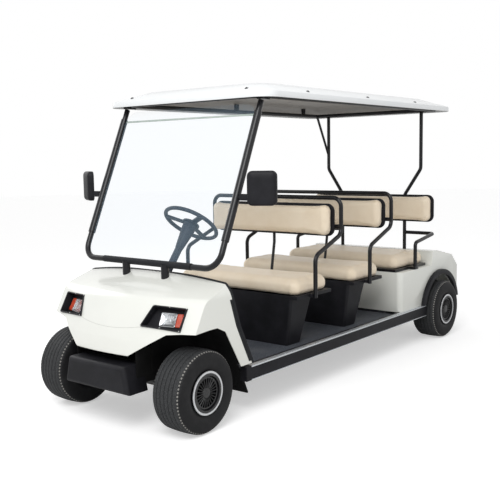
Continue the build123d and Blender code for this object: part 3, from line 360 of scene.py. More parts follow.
bodyPaint = {"cloud": 2.2, "deep": 0.965, "dustLow": 0.30, "dustHigh": 0.62, "dust": 0.30}
finishTable = [
    # finish, slot, maker, material, shade, look
    ("bodyWhite", "white_body", glossPaint, "offWhiteBody", (0.84, 0.85, 0.80),
     {**bodyPaint, "dustShade": (0.60, 0.58, 0.50), "rough": 0.20}),
    # the canopy's below colour and its mottle are painted shade on the underside
    ("roofWhite", "white_roof", canopyPaint, "canopyWhite", (0.88, 0.90, 0.91),
     {"cloud": 1.6, "top": (0.85, 0.875, 0.89), "below": (0.34, 0.325, 0.305),
      "stain": (0.26, 0.245, 0.23), "rough": 0.28}),
    ("blackPlastic", "black_plastic", mouldedPlastic, "grainedBlack", (0.009, 0.009, 0.011),
     {"patch": 9.0, "grain": 620.0, "pale": 1.8, "rough": 0.40, "depth": 0.0004}),
    ("blackTrim", "black_trim", mouldedPlastic, "edgeTrimRubber", (0.011, 0.012, 0.014),
     {"patch": 14.0, "grain": 900.0, "pale": 1.5, "rough": 0.50, "depth": 0.0002}),
    ("blackLiner", "black_liner", mouldedPlastic, "archLiner", (0.004, 0.004, 0.004),
     {"patch": 7.0, "grain": 300.0, "pale": 2.0, "rough": 0.62, "depth": 0.0008}),
    ("blackSteel", "black_steel", powderCoat, "blackPowderCoat", (0.008, 0.008, 0.010),
     {"orange": 340.0, "scuff": 0.20, "scuffShade": (0.05, 0.05, 0.055), "rough": 0.26}),
    ("castSteel", "cast_steel", castMetal, "darkCasting", (0.10, 0.10, 0.10),
     {"grain": 160.0, "rust": 0.35, "metal": 0.7, "rough": 0.5}),
    ("springSteel", "spring_steel", castMetal, "springSteel", (0.07, 0.07, 0.075),
     {"grain": 90.0, "rust": 0.5, "metal": 0.6, "rough": 0.45}),
    ("motorCase", "motor_case", castMetal, "motorCasting", (0.11, 0.11, 0.12),
     {"grain": 210.0, "rust": 0.12, "metal": 0.75, "rough": 0.42}),
    ("batteryCase", "battery_case", mouldedPlastic, "batteryCase", (0.035, 0.035, 0.04),
     {"patch": 8.0, "grain": 420.0, "pale": 1.6, "rough": 0.5, "depth": 0.0004}),
    ("vinyl", "seat_vinyl", vinylCloth, "beigeVinyl", (0.95, 0.82, 0.64),
     {"worn": (0.90, 0.76, 0.575), "rough": 0.32, "pebble": 520.0, "crease": 0.30}),
    ("tyre", "tyre_rubber", tyreRubber, "tyreRubber", (0.010, 0.010, 0.011),
     {"dust": 0.40, "dustShade": (0.026, 0.026, 0.027), "rough": 0.55,
      "treadDark": (0.020, 0.021, 0.022), "treadLight": (0.062, 0.064, 0.067)}),
    # pale rubber for the shoulder teeth: partly scuffed rubber, partly a painted highlight
    ("paleRubber", "tyre_rubber", tyreRubber, "scuffedRubber", (0.30, 0.29, 0.27),
     {"dust": 0.6, "dustShade": (0.16, 0.155, 0.15), "rough": 0.7,
      "treadDark": (0.3, 0.3, 0.3), "treadLight": (0.4, 0.4, 0.4)}),
    ("zincScrew", "bright_rim", brushedMetal, "zincScrews", (0.78, 0.78, 0.76),
     {"scale": 90.0, "metal": 0.9, "rough": 0.25}),
    ("hoodShade", "white_body", glossPaint, "panelJoint", (0.60, 0.61, 0.57),
     {**bodyPaint, "dustShade": (0.50, 0.48, 0.42), "rough": 0.30}),
    ("brightRim", "bright_rim", brushedMetal, "silverRim", (0.80, 0.81, 0.83),
     {"scale": 40.0, "metal": 0.85, "rough": 0.22}),
    ("chrome", "bright_rim", brushedMetal, "chromePlate", (0.86, 0.87, 0.88),
     {"scale": 70.0, "metal": 0.95, "rough": 0.08}),
    ("sillStrip", "bright_rim", brushedMetal, "sillAluminium", (0.74, 0.77, 0.80),
     {"scale": 60.0, "stretch": (8.0, 0.15, 8.0), "metal": 0.75, "rough": 0.28}),
    ("mirrorGlass", "bright_rim", brushedMetal, "mirrorSilver", (0.82, 0.84, 0.86),
     {"scale": 6.0, "metal": 0.95, "rough": 0.03}),
    ("floorMat", "floor_mat", rubberMat, "speckledMat", (0.035, 0.040, 0.050),
     {"fleck": 210.0, "light": (0.12, 0.135, 0.16), "mud": (0.10, 0.105, 0.115), "rough": 0.62}),
    ("wheelGrip", "wheel_grip", mouldedPlastic, "gripMoulding", (0.022, 0.026, 0.036),
     {"patch": 12.0, "grain": 700.0, "pale": 1.5, "rough": 0.40, "depth": 0.0003}),
    ("wheelCover", "wheel_cover", mouldedPlastic, "coverBlack", (0.006, 0.006, 0.007),
     {"patch": 16.0, "grain": 900.0, "pale": 1.6, "rough": 0.20, "depth": 0.0001, "shine": 0.75}),
    ("pane", "clear_pane", clearSheet, "clearPane", (0.55, 0.78, 1.0),
     {"alpha": 0.040, "haze": 0.020, "second": (0.60, 0.82, 1.0)}),
    ("paneEdge", "clear_pane", clearSheet, "paneEdge", (0.42, 0.50, 0.44),
     {"alpha": 0.62, "haze": 0.15, "second": (0.55, 0.60, 0.54)}),
    ("lens", "clear_lens", lensPlastic, "flutedLens", (0.93, 0.94, 0.95),
     {"clear": 1.0, "flutes": 900.0, "rows": 260.0, "deep": (0.80, 0.82, 0.84),
      "rough": 0.05, "depth": 0.0012}),
    ("amber", "amber_lens", lensPlastic, "amberLens", (0.80, 0.075, 0.015),
     {"clear": 0.25, "flutes": 1100.0, "rows": 700.0, "deep": (0.45, 0.03, 0.01),
      "rough": 0.12, "depth": 0.0010}),
    ("red", "red_lens", lensPlastic, "redLens", (0.50, 0.018, 0.015),
     {"clear": 0.30, "flutes": 900.0, "rows": 600.0, "deep": (0.30, 0.01, 0.01),
      "rough": 0.14, "depth": 0.0010}),
]
finishes = {finish: maker(*given) for finish, slot, maker, *given in finishTable}
print("finishes made:", len(finishes))


def newPiece(name, mesh, finish, body="chassis", replaces=()):
    # a piece in its place: shaded, finished, riding on its body
    piece = bpy.data.objects.new(name, mesh)
    scene.collection.objects.link(piece)
    mesh.materials.clear()
    mesh.materials.append(finishes[finish])
    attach(piece, body)
    if replaces:
        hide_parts(*replaces)
    return piece


def applyModifiers(piece):
    # the evaluated shape becomes the piece's own mesh
    depsgraph = bpy.context.evaluated_depsgraph_get()
    mesh = bpy.data.meshes.new_from_object(piece.evaluated_get(depsgraph), depsgraph=depsgraph)
    piece.modifiers.clear()
    old = piece.data
    piece.data = mesh
    bpy.data.meshes.remove(old)


meshLook = {"merge": 1e-5, "flatTurn": 0.4, "easeSharp": 35.0, "easeProfile": 0.6, "gridMerge": 1e-6}
softAngle = 32.0


def smoothMesh(mesh, angle=softAngle):
    mesh.shade_smooth()
    mesh.set_sharp_from_angle(angle=math.radians(angle))
    return mesh


def meshFrom(shape, name, angle=softAngle):
    mesh = bpy.data.meshes.new(name)
    shape.to_mesh(mesh)
    shape.free()
    if mesh.has_custom_normals:
        mesh.attributes.remove(mesh.attributes["custom_normal"])
    return smoothMesh(mesh, angle)


def mergedShape(node):
    # the CAD node's loose triangles merged into one surface
    shape = bmesh.new()
    shape.from_mesh(cad[node].data)
    bmesh.ops.remove_doubles(shape, verts=shape.verts, dist=meshLook["merge"])
    return shape


def easeEdges(shape, width, segments=2):
    # rounds the edges that point outwards
    sharp = math.radians(meshLook["easeSharp"])
    edges = [edge for edge in shape.edges
             if edge.is_manifold and edge.is_convex and edge.calc_face_angle(0.0) > sharp]
    bmesh.ops.bevel(shape, geom=edges, offset=width, segments=segments, profile=meshLook["easeProfile"],
                    affect="EDGES", clamp_overlap=True)


def dressed(node, finish, angle, ease=0.0):
    # the CAD node's own form, smoothed and with its outward edges eased
    shape = mergedShape(node)
    bmesh.ops.dissolve_degenerate(shape, edges=shape.edges, dist=meshLook["merge"])
    if ease:
        bmesh.ops.dissolve_limit(shape, angle_limit=math.radians(meshLook["flatTurn"]),
                                 verts=shape.verts, edges=shape.edges)
        easeEdges(shape, ease)
    mesh = meshFrom(shape, node, angle)
    return newPiece(node.replace("_", "") + "Finish", mesh, finish, cad[node]["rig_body"], (node,))


def solids(node):
    # each solid's points and its flat faces as (normal, area), front to back and right to left
    shape = mergedShape(node)
    seen, found = set(), []
    for start in shape.verts:
        if start in seen:
            continue
        seen.add(start)
        queue, points, areas = [start], [], {}
        while queue:
            vert = queue.pop()
            points.append(vert.co.copy())
            for face in vert.link_faces:
                # a triangle is met at each of its three corners
                key = tuple(round(part, 2) for part in face.normal)
                normal, area = areas.get(key, (face.normal.copy(), 0.0))
                areas[key] = (normal, area + face.calc_area() / 3)
            for edge in vert.link_edges:
                other = edge.other_vert(vert)
                if other not in seen:
                    seen.add(other)
                    queue.append(other)
        found.append((points, list(areas.values())))
    shape.free()
    # to the centimetre along the car, then across it
    return sorted(found, key=lambda solid: (round(min(p.y for p in solid[0]), 2), min(p.x for p in solid[0])))


def solidBox(points):
    return tuple(Vector(end(p[i] for p in points) for i in range(3)) for end in (min, max))


def outerSide(low, high):
    # which side of the car a box lies on, and how far out its outer face is
    side = 1 if high.x > 0 else -1
    return side, high.x if side > 0 else low.x


def castOn(node, starts, way):
    # where rays from the starts meet the CAD node, and the normals there
    source = cad[node].data
    tree = BVHTree.FromPolygons([v.co for v in source.vertices], [p.vertices[:] for p in source.polygons])
    return [tree.ray_cast(Vector(start), Vector(way))[:2] for start in starts]


class Facet:
    # the largest flat face of a solid that looks along a direction: its middle, axes and half sizes
    facing = 0.6
    flatness = 0.0005

    def __init__(self, solid, toward):
        points, faces = solid
        ahead = [face for face in faces if face[0].dot(toward) > self.facing]
        self.normal = max(ahead, key=lambda face: face[1])[0].normalized()
        self.up = (Vector((0.0, 0.0, 1.0)) - self.normal * self.normal.z).normalized()
        self.right = self.up.cross(self.normal)
        reach = max(p.dot(self.normal) for p in points)
        self.flat = [p for p in points if reach - p.dot(self.normal) < self.flatness]
        across = [p.dot(self.right) for p in self.flat]
        along = [p.dot(self.up) for p in self.flat]
        self.halfU = (max(across) - min(across)) / 2
        self.halfV = (max(along) - min(along)) / 2
        self.middle = (self.right * (max(across) + min(across)) / 2
                       + self.up * (max(along) + min(along)) / 2 + self.normal * reach)

    def at(self, u, v, lift=0.0):
        return self.middle + self.right * u + self.up * v + self.normal * lift

    def corner(self, su, sv):
        def reach(p):
            way = p - self.middle
            return way.dot(self.right) * su / self.halfU + way.dot(self.up) * sv / self.halfV
        return max(self.flat, key=reach)


def roundedLoop(halfU, halfV, corner, steps=6):
    smallest = 0.0002
    corner = max(min(corner, halfU, halfV), smallest)
    flatU, flatV = halfU - corner, halfV - corner
    loop = []
    for quarter in range(4):
        su, sv = (1 if quarter in (0, 3) else -1), (1 if quarter in (0, 1) else -1)
        for step in range(steps + 1):
            a = (quarter + step / steps) * math.pi / 2
            loop.append((su * flatU + corner * math.cos(a), sv * flatV + corner * math.sin(a)))
    return loop


def gridMesh(name, rows, ring=False, angle=softAngle):
    # a skin over rows of points, closed across; a ring also closes along, and others get end caps
    shape = bmesh.new()
    verts = [[shape.verts.new(point) for point in row] for row in rows]
    count = len(rows[0])
    for i in range(len(rows) - (0 if ring else 1)):
        a, b = verts[i], verts[(i + 1) % len(rows)]
        for j in range(count):
            k = (j + 1) % count
            shape.faces.new((a[j], a[k], b[k], b[j]))
    if not ring:
        shape.faces.new(list(reversed(verts[0])))
        shape.faces.new(verts[-1])
    bmesh.ops.remove_doubles(shape, verts=shape.verts, dist=meshLook["gridMerge"])
    bmesh.ops.recalc_face_normals(shape, faces=shape.faces)
    return meshFrom(shape, name, angle)


def plateMesh(name, face, halfU, halfV, corner, levels):
    # a rounded plate on a facet; each level is an inset and a lift, from its back round its rim to its middle
    rows = []
    for inset, lift in levels:
        loop = roundedLoop(halfU - inset, halfV - inset, corner - inset)
        rows.append([face.at(u, v, lift) for u, v in loop])
    return gridMesh(name, rows)


def turnedMesh(name, place, axis, profile, steps=64, angle=softAngle, ring=False):
    # a profile of (radius, distance along the axis) turned about an axis; a ring's profile is closed
    axis = axis.normalized()
    side = axis.orthogonal().normalized()
    other = axis.cross(side)
    turns = [2 * math.pi * step / steps for step in range(steps)]
    rows = [[place + axis * along + (side * math.cos(turn) * radius + other * math.sin(turn) * radius)
             for turn in turns] for radius, along in profile]
    return gridMesh(name, rows, ring, angle)


def offsets(radius, rim):
    # a rim's (radius, along) pairs, given from a radius measured on the part
    return [(radius + more, along) for more, along in rim]


def joinedMesh(name, meshes, angle=softAngle):
    shape = bmesh.new()
    for mesh in meshes:
        shape.from_mesh(mesh)
        bpy.data.meshes.remove(mesh)
    return meshFrom(shape, name, angle)


def barMesh(name, start, end, ease):
    # a straight bar between two opposite corners with eased edges
    barAngle, barSegments = 40.0, 3
    shape = bmesh.new()
    bmesh.ops.create_cube(shape, size=1.0)
    for vert in shape.verts:
        vert.co = Vector(((start[i] + end[i]) / 2 + vert.co[i] * abs(end[i] - start[i])) for i in range(3))
    easeEdges(shape, ease, barSegments)
    bmesh.ops.recalc_face_normals(shape, faces=shape.faces)
    return meshFrom(shape, name, barAngle)


plainParts = [
    # node, finish, smoothing angle, easing of its edges
    ("front_cowl", "bodyWhite", 28.0, 0.0),
    ("rear_body", "bodyWhite", 28.0, 0.010),
    ("roof_canopy", "roofWhite", 28.0, 0.002),
    ("cowl_trim", "blackTrim", 35.0, 0.0),
    ("windscreen_frame", "blackSteel", 40.0, 0.0),
    ("windscreen_panel", "pane", 30.0, 0.0),
    ("roof_frame", "blackSteel", 40.0, 0.0),
    ("rear_posts", "blackSteel", 40.0, 0.0),
    ("seat_rail_1", "blackSteel", 40.0, 0.0),
    ("seat_rail_2", "blackSteel", 40.0, 0.0),
    ("seat_arms_3", "blackSteel", 40.0, 0.0),
    ("seat_frame_3", "blackSteel", 30.0, 0.0015),
    ("seat_boxes", "blackPlastic", 30.0, 0.002),
    ("backrest_shells", "blackPlastic", 30.0, 0.003),
    ("dashboard", "blackPlastic", 30.0, 0.002),
    ("front_bumper", "blackPlastic", 30.0, 0.016),
    ("rear_bumper", "blackPlastic", 30.0, 0.014),
    ("rear_flares", "blackPlastic", 30.0, 0.003),
    ("front_liners", "blackLiner", 30.0, 0.0),
    ("lamp_bezels", "blackPlastic", 30.0, 0.0012),
    ("steering_wheel", "wheelGrip", 40.0, 0.0),
    ("steering_column", "wheelGrip", 30.0, 0.0),
    ("pedals", "blackPlastic", 30.0, 0.0015),
    ("floor_pan", "floorMat", 30.0, 0.002),
    ("side_sills", "blackPlastic", 30.0, 0.004),
    ("chassis_frame", "blackSteel", 30.0, 0.003),
    ("battery_block", "batteryCase", 30.0, 0.004),
    ("drive_motor", "motorCase", 35.0, 0.004),
    ("front_axle", "castSteel", 35.0, 0.0),
    ("rear_axle", "castSteel", 35.0, 0.0),
    ("knuckle_left", "castSteel", 35.0, 0.0),
    ("knuckle_right", "castSteel", 35.0, 0.0),
    ("tie_rod", "castSteel", 35.0, 0.0),
    ("leaf_springs", "springSteel", 30.0, 0.0015),
    ("tail_lamps", "red", 30.0, 0.003),
]
for node, finish, angle, ease in plainParts:
    dressed(node, finish, angle, ease)

# the canopy's underside is told apart, for the painted shade on it
undersideTilt = -0.3
roofMesh = bpy.data.objects["roofcanopyFinish"].data
under = roofMesh.attributes.new("under", "FLOAT", "CORNER")
for polygon in roofMesh.polygons:
    for loop in polygon.loop_indices:
        under.data[loop].value = 1.0 if polygon.normal.z < undersideTilt else 0.0


def wheelFace(node):
    # a wheel part's outer face: side, middle, the way it looks, radius and depth
    low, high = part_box(node)
    side, outer = outerSide(low, high)
    middle = Vector((outer, (low.y + high.y) / 2, (low.z + high.z) / 2))
    return side, middle, Vector((side, 0.0, 0.0)), (high.z - low.z) / 2, high.x - low.x


rimLook = {
    "angle": 35.0, "inner": 0.1065, "steps": 96,
    "lipRim": [(0.0003, -0.004), (0.0003, -0.0010), (-0.0015, 0.0004)],
    "innerRim": [(0.0015, 0.0004), (0.0, -0.0008), (0.0, -0.004)],
}
for corner in wheelCorners:
    dressed("rim_" + corner, "wheelCover", rimLook["angle"])
    side, face, axis, lip, depth = wheelFace("rim_" + corner)
    profile = offsets(lip, rimLook["lipRim"]) + offsets(rimLook["inner"], rimLook["innerRim"])
    ring = turnedMesh("rimRing", face, axis, profile, rimLook["steps"], ring=True)
    newPiece(f"rim_{corner}_ring", ring, "brightRim", cad["rim_" + corner]["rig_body"])
print("panels and frames dressed")


def pointsMesh(name, spots):
    # bare vertices that carry the way each one faces, for what is placed on them
    mesh = bpy.data.meshes.new(name)
    mesh.from_pydata([tuple(place) for place, way in spots], [], [])
    facing = mesh.attributes.new("facing", "FLOAT_VECTOR", "POINT")
    facing.data.foreach_set("vector", [part for place, way in spots for part in way])
    return mesh


screwLook = {"usual": {"Radius": 0.0040, "Height": 0.0020, "Washer": 1.45, "Sides": 8}, "headTop": 0.62,
              "washerTop": 0.92, "washerHeight": 0.35, "washerSides": 20}


def makeScrewTree(finish, look):
    # a low head on a washer at every point, turned the way the point faces
    tree = GeometryMaker("screwHeads" + finish, look["usual"])
    radius, height, washer, count = tree.given("Radius", "Height", "Washer", "Sides")

    def cone(count, radius, top, height):
        return tree.add("GeometryNodeMeshCone", {}, {
            "Vertices": count, "Radius Top": radius * top, "Radius Bottom": radius, "Depth": height})

    head = cone(count, radius, look["headTop"], height)
    under = cone(look["washerSides"], radius * washer, look["washerTop"], height * look["washerHeight"])
    facing = tree.add("GeometryNodeInputNamedAttribute", {"data_type": "FLOAT_VECTOR"}, {"Name": "facing"})
    turn = tree.add("FunctionNodeAlignRotationToVector", {"axis": "Z"}, {"Vector": facing})
    placed = tree.add("GeometryNodeInstanceOnPoints", {}, {
        "Points": tree.given("Base"), "Instance": tree.joined(head, under), "Rotation": turn})
    tree.ending(placed, finish)
    return tree


zincScrews = makeScrewTree("zincScrew", screwLook)
darkBolts = makeScrewTree("blackPlastic", screwLook)
# the pale shoulder teeth are partly scuffed rubber, partly a painted highlight
shoulderTeeth = makeScrewTree("paleRubber", screwLook)


# wheel covers: a turned bowl with its flange, and fins set round it
coverLook = {
    "fins": {"Fins": 24, "Inner": 0.031, "Outer": 0.088, "Width": 0.0046}, "finFoot": 0.003,
    "crestSides": 10, "angle": 35.0, "flangeSteps": 96,
    "bowl": [(0.002, 0.0), (0.089, 0.0), (0.090, 0.004), (0.089, 0.005), (0.002, 0.005)],
    "bossRadius": 0.030, "bossFoot": 0.004,
    "boss": [(0.030, -0.004), (0.028, -0.0015), (0.022, 0.0), (0.004, -0.001)],
    "flangeRim": [(0.0, -0.004), (0.0, -0.0015), (-0.002, -0.0003)],
    "flangeInner": [(0.082, 0.0), (0.079, -0.0015), (0.079, -0.004)],
}


def makeCoverTree(look):
    tree = GeometryMaker("finnedCover", {**look["fins"], "Depth": 0.03, "Face": 0.0,
                                         "Centre X": 0.0, "Centre Y": 0.0, "Centre Z": 0.0})
    count, inner, outer, width, depth = tree.given("Fins", "Inner", "Outer", "Width", "Depth")

    def moved(part, **places):
        return tree.add("GeometryNodeTransform", {}, {0: part, **places})

    ring = tree.add("GeometryNodeMeshCircle", {}, {"Vertices": count, "Radius": (inner + outer) * 0.5})
    turn = tree.vector(z=tree.add("GeometryNodeInputIndex") * (2 * math.pi) / count)
    size = tree.vector(outer - inner, width, depth - width * 0.5)
    blade = tree.add("GeometryNodeMeshCube", {}, {"Size": size})
    blade = moved(blade, Translation=tree.vector(z=(depth + width * 0.5) * -0.5))
    crest = tree.add("GeometryNodeMeshCylinder", {}, {
        "Vertices": look["crestSides"], "Radius": width * 0.5, "Depth": outer - inner})
    crest = moved(crest, Translation=tree.vector(z=width * -0.5), Rotation=tree.vector(y=math.pi / 2))
    fins = tree.add("GeometryNodeInstanceOnPoints", {}, {
        "Points": ring, "Instance": tree.joined(blade, crest), "Rotation": turn})
    face, x, y, z = tree.given("Face", "Centre X", "Centre Y", "Centre Z")
    stood = moved(fins, Rotation=tree.vector(y=face * (math.pi / 2)), Translation=tree.vector(x, y, z))
    tree.ending(tree.joined(tree.given("Base"), stood), "wheelCover")
    return tree


coverTree = makeCoverTree(coverLook)


def makeCover(corner, look):
    node = "cover_" + corner
    side, face, axis, flange, depth = wheelFace(node)
    flangeProfile = offsets(flange, look["flangeRim"]) + look["flangeInner"]
    base = joinedMesh("cover" + corner, [
        turnedMesh("bowl", face - axis * depth, axis, look["bowl"]),
        turnedMesh("boss", face, axis, [(look["bossRadius"], look["bossFoot"] - depth), *look["boss"]]),
        turnedMesh("flange", face, axis, flangeProfile, look["flangeSteps"], ring=True),
    ])
    mesh = coverTree.grown(node, base, {
        **look["fins"], "Depth": depth - look["finFoot"], "Face": float(side),
        "Centre X": face.x, "Centre Y": face.y, "Centre Z": face.z})
    newPiece(node + "_finned", smoothMesh(mesh, look["angle"]), "wheelCover", cad[node]["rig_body"], (node,))


for corner in wheelCorners:
    makeCover(corner, coverLook)
print("wheel covers made")


# lamps: a chrome dish under a fluted clear plate, and an amber plate beside it
lampLook = {
    "forward": (0.0, -0.8, 0.4),
    "corner": 0.006, "gap": 0.0004, "bulbSteps": 24,
    "plate": [(0.001, -0.0016), (0.0, -0.00128), (0.0, -0.0004), (0.001, 0.0)],
    "dish": [(0.0, -0.0098), (0.0, -0.0030), (0.003, -0.0024), (0.005, -0.0034),
             (0.014, -0.0062), (0.026, -0.0084), (0.034, -0.0090)],
    "bulb": [(0.0090, -0.0090), (0.0088, -0.0060), (0.0070, -0.0042), (0.0030, -0.0034)],
    "amber": [(0.0, -0.0098), (0.0, -0.0030), (0.0022, -0.0004), (0.0060, 0.0), (0.0150, -0.0006)],
    "screwInset": 0.004725,
    "screw": {"Radius": 0.0024, "Height": 0.0016, "Washer": 1.15},
}


def makeLamps(look):
    forward = Vector(look["forward"]).normalized()
    dishes, plates, ambers, spots = [], [], [], []
    for solid in solids("headlamp_lenses"):
        face = Facet(solid, forward)
        half = (face.halfU - look["gap"], face.halfV - look["gap"])
        dishes.append(plateMesh("dish", face, face.halfU, face.halfV, look["corner"], look["dish"]))
        dishes.append(turnedMesh("bulb", face.middle, face.normal, look["bulb"], look["bulbSteps"]))
        plates.append(plateMesh("plate", face, *half, look["corner"], look["plate"]))
    for solid in solids("indicator_lenses"):
        face = Facet(solid, forward)
        ambers.append(plateMesh("amber", face, face.halfU, face.halfV, look["corner"], look["amber"]))
    newPiece("lampDishes", joinedMesh("dishes", dishes), "chrome", replaces=("headlamp_lenses",))
    newPiece("lampPlates", joinedMesh("plates", plates), "lens")
    newPiece("indicatorPlates", joinedMesh("ambers", ambers), "amber", replaces=("indicator_lenses",))
    for solid in solids("lamp_bezels"):
        face = Facet(solid, forward)
        ends = [face.corner(su, sv) for su, sv in ((-1, -1), (1, -1), (1, 1), (-1, 1))]
        for place in (*ends, (ends[0] + ends[1]) / 2, (ends[2] + ends[3]) / 2):
            spots.append((place + (face.middle - place).normalized() * look["screwInset"], face.normal))
    screws = zincScrews.grown("bezelScrews", pointsMesh("bezelSpots", spots), look["screw"])
    newPiece("bezelScrews", screws, "zincScrew")


makeLamps(lampLook)


# mirrors: rounded shells toed in, with their glass behind
mirrorLook = {
    "halfWidth": 0.082, "halfHeight": 0.094, "corner": 0.030, "toe": 28.0,
    "inward": 0.024, "behind": 0.006,
    "shell": [(0.0060, -0.0040), (0.0045, 0.0), (0.0015, 0.0), (0.0, -0.002), (0.0, -0.022),
              (0.003, -0.030), (0.009, -0.0355), (0.018, -0.0390), (0.040, -0.0405)],
    "glass": [(0.0060, -0.0042), (0.0060, -0.0032), (0.0075, -0.0026)],
    "rootDepth": 0.012, "rootGap": 0.0005, "armShare": 0.55, "armSteps": 20, "armRadius": 0.008,
    "armFoot": [(0.012, 0.0), (0.012, 0.006), (0.008, 0.009)],
    "bracketStart": 0.004, "bracketEnd": 0.074, "bracketHalf": 0.011,
    "bracketDrop": 0.016, "bracketRise": 0.020, "bracketEase": 0.005,
}


def makeMirrors(look):
    shells, panes = [], []
    turn = math.radians(look["toe"])
    form = (look["halfWidth"], look["halfHeight"], look["corner"])
    for solid in solids("mirrors"):
        points = solid[0]
        low, high = solidBox(points)
        side = 1 if high.x > 0 else -1
        flat = Facet(solid, Vector((0.0, 1.0, 0.0)))
        flat.normal = Vector((-side * math.sin(turn), math.cos(turn), 0.0))
        flat.right = flat.up.cross(flat.normal)
        outer = side * max(abs(low.x), abs(high.x))
        flat.middle = Vector((outer - side * (look["halfWidth"] + look["inward"]),
                              flat.middle.y + look["behind"], flat.middle.z))
        shells.append(plateMesh("shell", flat, *form, look["shell"]))
        panes.append(plateMesh("glass", flat, *form, look["glass"]))
        nearest = min(abs(p.x) for p in points)
        root = [p for p in points if abs(p.x) < nearest + look["rootDepth"]]
        start = Vector((side * (nearest + look["rootGap"]),
                        sum(p.y for p in root) / len(root), sum(p.z for p in root) / len(root)))
        reach = abs(flat.middle.x) - nearest - look["halfWidth"] * look["armShare"]
        shells.append(turnedMesh("arm", start, Vector((side, 0.0, 0.0)),
                                 [*look["armFoot"], (look["armRadius"], reach)], look["armSteps"]))
        ends = sorted((side * (nearest + look["bracketStart"]), side * (nearest + look["bracketEnd"])))
        shells.append(barMesh("bracket",
                              (ends[0], start.y - look["bracketHalf"], start.z - look["bracketDrop"]),
                              (ends[1], start.y + look["bracketHalf"], start.z + look["bracketRise"]),
                              look["bracketEase"]))
    newPiece("mirrorShells", joinedMesh("shells", shells), "blackPlastic", replaces=("mirrors",))
    newPiece("mirrorGlasses", joinedMesh("glasses", panes), "mirrorGlass")


makeMirrors(mirrorLook)
print("lamps and mirrors made")


# sills: an aluminium strip over the top edge and a bright line along the foot
sillLook = {
    "cap": 0.045, "rear": 0.002, "angle": 40.0,
    # bar, inward and outward of the outer face, end of the box, bottom and top from there, easing
    "bars": [("top", 0.028, -0.002, "high", -0.003, 0.0008, 0.0008),
             ("side", 0.003, 0.0008, "high", -0.010, -0.0015, 0.0008),
             ("foot", 0.002, 0.0008, "low", 0.001, 0.007, 0.0005)],
}


def makeSillStrips(look):
    strips = []
    for points, faces in solids("side_sills"):
        low, high = solidBox(points)
        side, outer = outerSide(low, high)
        front, rear = low.y + look["cap"], high.y - look["rear"]
        for title, inward, outward, end, bottom, top, ease in look["bars"]:
            level = high.z if end == "high" else low.z
            strips.append(barMesh(title, (outer - side * inward, front, level + bottom),
                                  (outer + side * outward, rear, level + top), ease))
    newPiece("sillStrips", joinedMesh("sillStrips", strips, look["angle"]), "sillStrip")


makeSillStrips(sillLook)


# windscreen: a sleeve on the lower bar and the pane's pale top edge
screenLook = {
    "sleeveRadius": 0.0195, "sleeveHalf": 0.36, "sleeveEase": 0.002, "sleeveForm": (32, 40.0),
    "barRadius": 0.0160, "barSink": 0.001, "barBelow": 0.014, "barBehind": 0.006,
    "farFront": 0.3, "farAbove": 0.02,
    "edge": 0.012, "edgeShare": 0.92, "edgeLift": 0.0006, "edgeThick": 0.0016, "edgeInset": 0.004,
}


def makeScreenParts(look):
    low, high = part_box("windscreen_panel")
    bar = look["barRadius"]
    ahead = (0.0, low.y - look["farFront"], low.z - look["barBelow"])
    above = (0.0, low.y - look["barBehind"], low.z + look["farAbove"])
    front = castOn("windscreen_frame", [ahead], (0.0, 1.0, 0.0))[0][0]
    top = castOn("windscreen_frame", [above], (0.0, 0.0, -1.0))[0][0]
    centre = Vector((0.0, front.y + bar, top.z - bar))
    half, radius, ease = look["sleeveHalf"], look["sleeveRadius"], look["sleeveEase"]
    profile = [(bar - look["barSink"], -half), (radius, -half), (radius, -half + ease),
               (radius, half - ease), (radius, half), (bar - look["barSink"], half)]
    sleeve = turnedMesh("sleeve", centre, Vector((1.0, 0.0, 0.0)), profile, *look["sleeveForm"])
    newPiece("screenSleeve", sleeve, "blackTrim")
    print("screen bar at", [round(part, 4) for part in centre])
    rise = Vector((0.0, high.y - low.y, high.z - low.z))
    out = Vector((0.0, -rise.z, rise.y)).normalized()
    foot = Vector((0.0, low.y, low.z)) + rise * look["edgeShare"] + out * look["edgeLift"]
    tall, thick = rise.normalized() * look["edge"], out * look["edgeThick"]
    rows = [[Vector((x, 0.0, 0.0)) + spot for spot in (foot, foot + tall, foot + tall + thick, foot + thick)]
            for x in (low.x + look["edgeInset"], high.x - look["edgeInset"])]
    newPiece("paneTopEdge", gridMesh("paneTopEdge", rows), "paneEdge")


makeScreenParts(screenLook)


# the steering wheel's pad rides on the wheel, and the column's shroud stays behind it
steerLook = {
    "lean": 38.0, "centre": (-0.215, -0.753, 1.045), "padSteps": 48, "shroudSteps": 40,
    "pad": [(0.058, -0.012), (0.0600, -0.006), (0.0585, 0.001), (0.050, 0.0055), (0.030, 0.0080),
            (0.026, 0.0085), (0.025, 0.0070), (0.0235, 0.0070), (0.022, 0.0095), (0.008, 0.0105)],
    "shroud": [(0.036, -0.030), (0.0455, -0.034), (0.0450, -0.044), (0.0400, -0.090),
               (0.0320, -0.150), (0.0260, -0.195), (0.0235, -0.200)],
}


def makeSteeringParts(look):
    centre, lean = Vector(look["centre"]), math.radians(look["lean"])
    axis = Vector((0.0, math.sin(lean), math.cos(lean)))
    pad = turnedMesh("pad", centre, axis, look["pad"], look["padSteps"])
    shroud = turnedMesh("shroud", centre, axis, look["shroud"], look["shroudSteps"])
    newPiece("steeringPad", pad, "wheelGrip", cad["steering_wheel"]["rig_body"])
    newPiece("steeringShroud", shroud, "wheelGrip", cad["steering_column"]["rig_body"])


makeSteeringParts(steerLook)


bandLook = {"width": 0.020, "lift": 0.0010, "low": 0.325, "high": 0.775, "steps": 24,
            "trimSide": 0.45, "slack": 0.002, "far": 1.0}


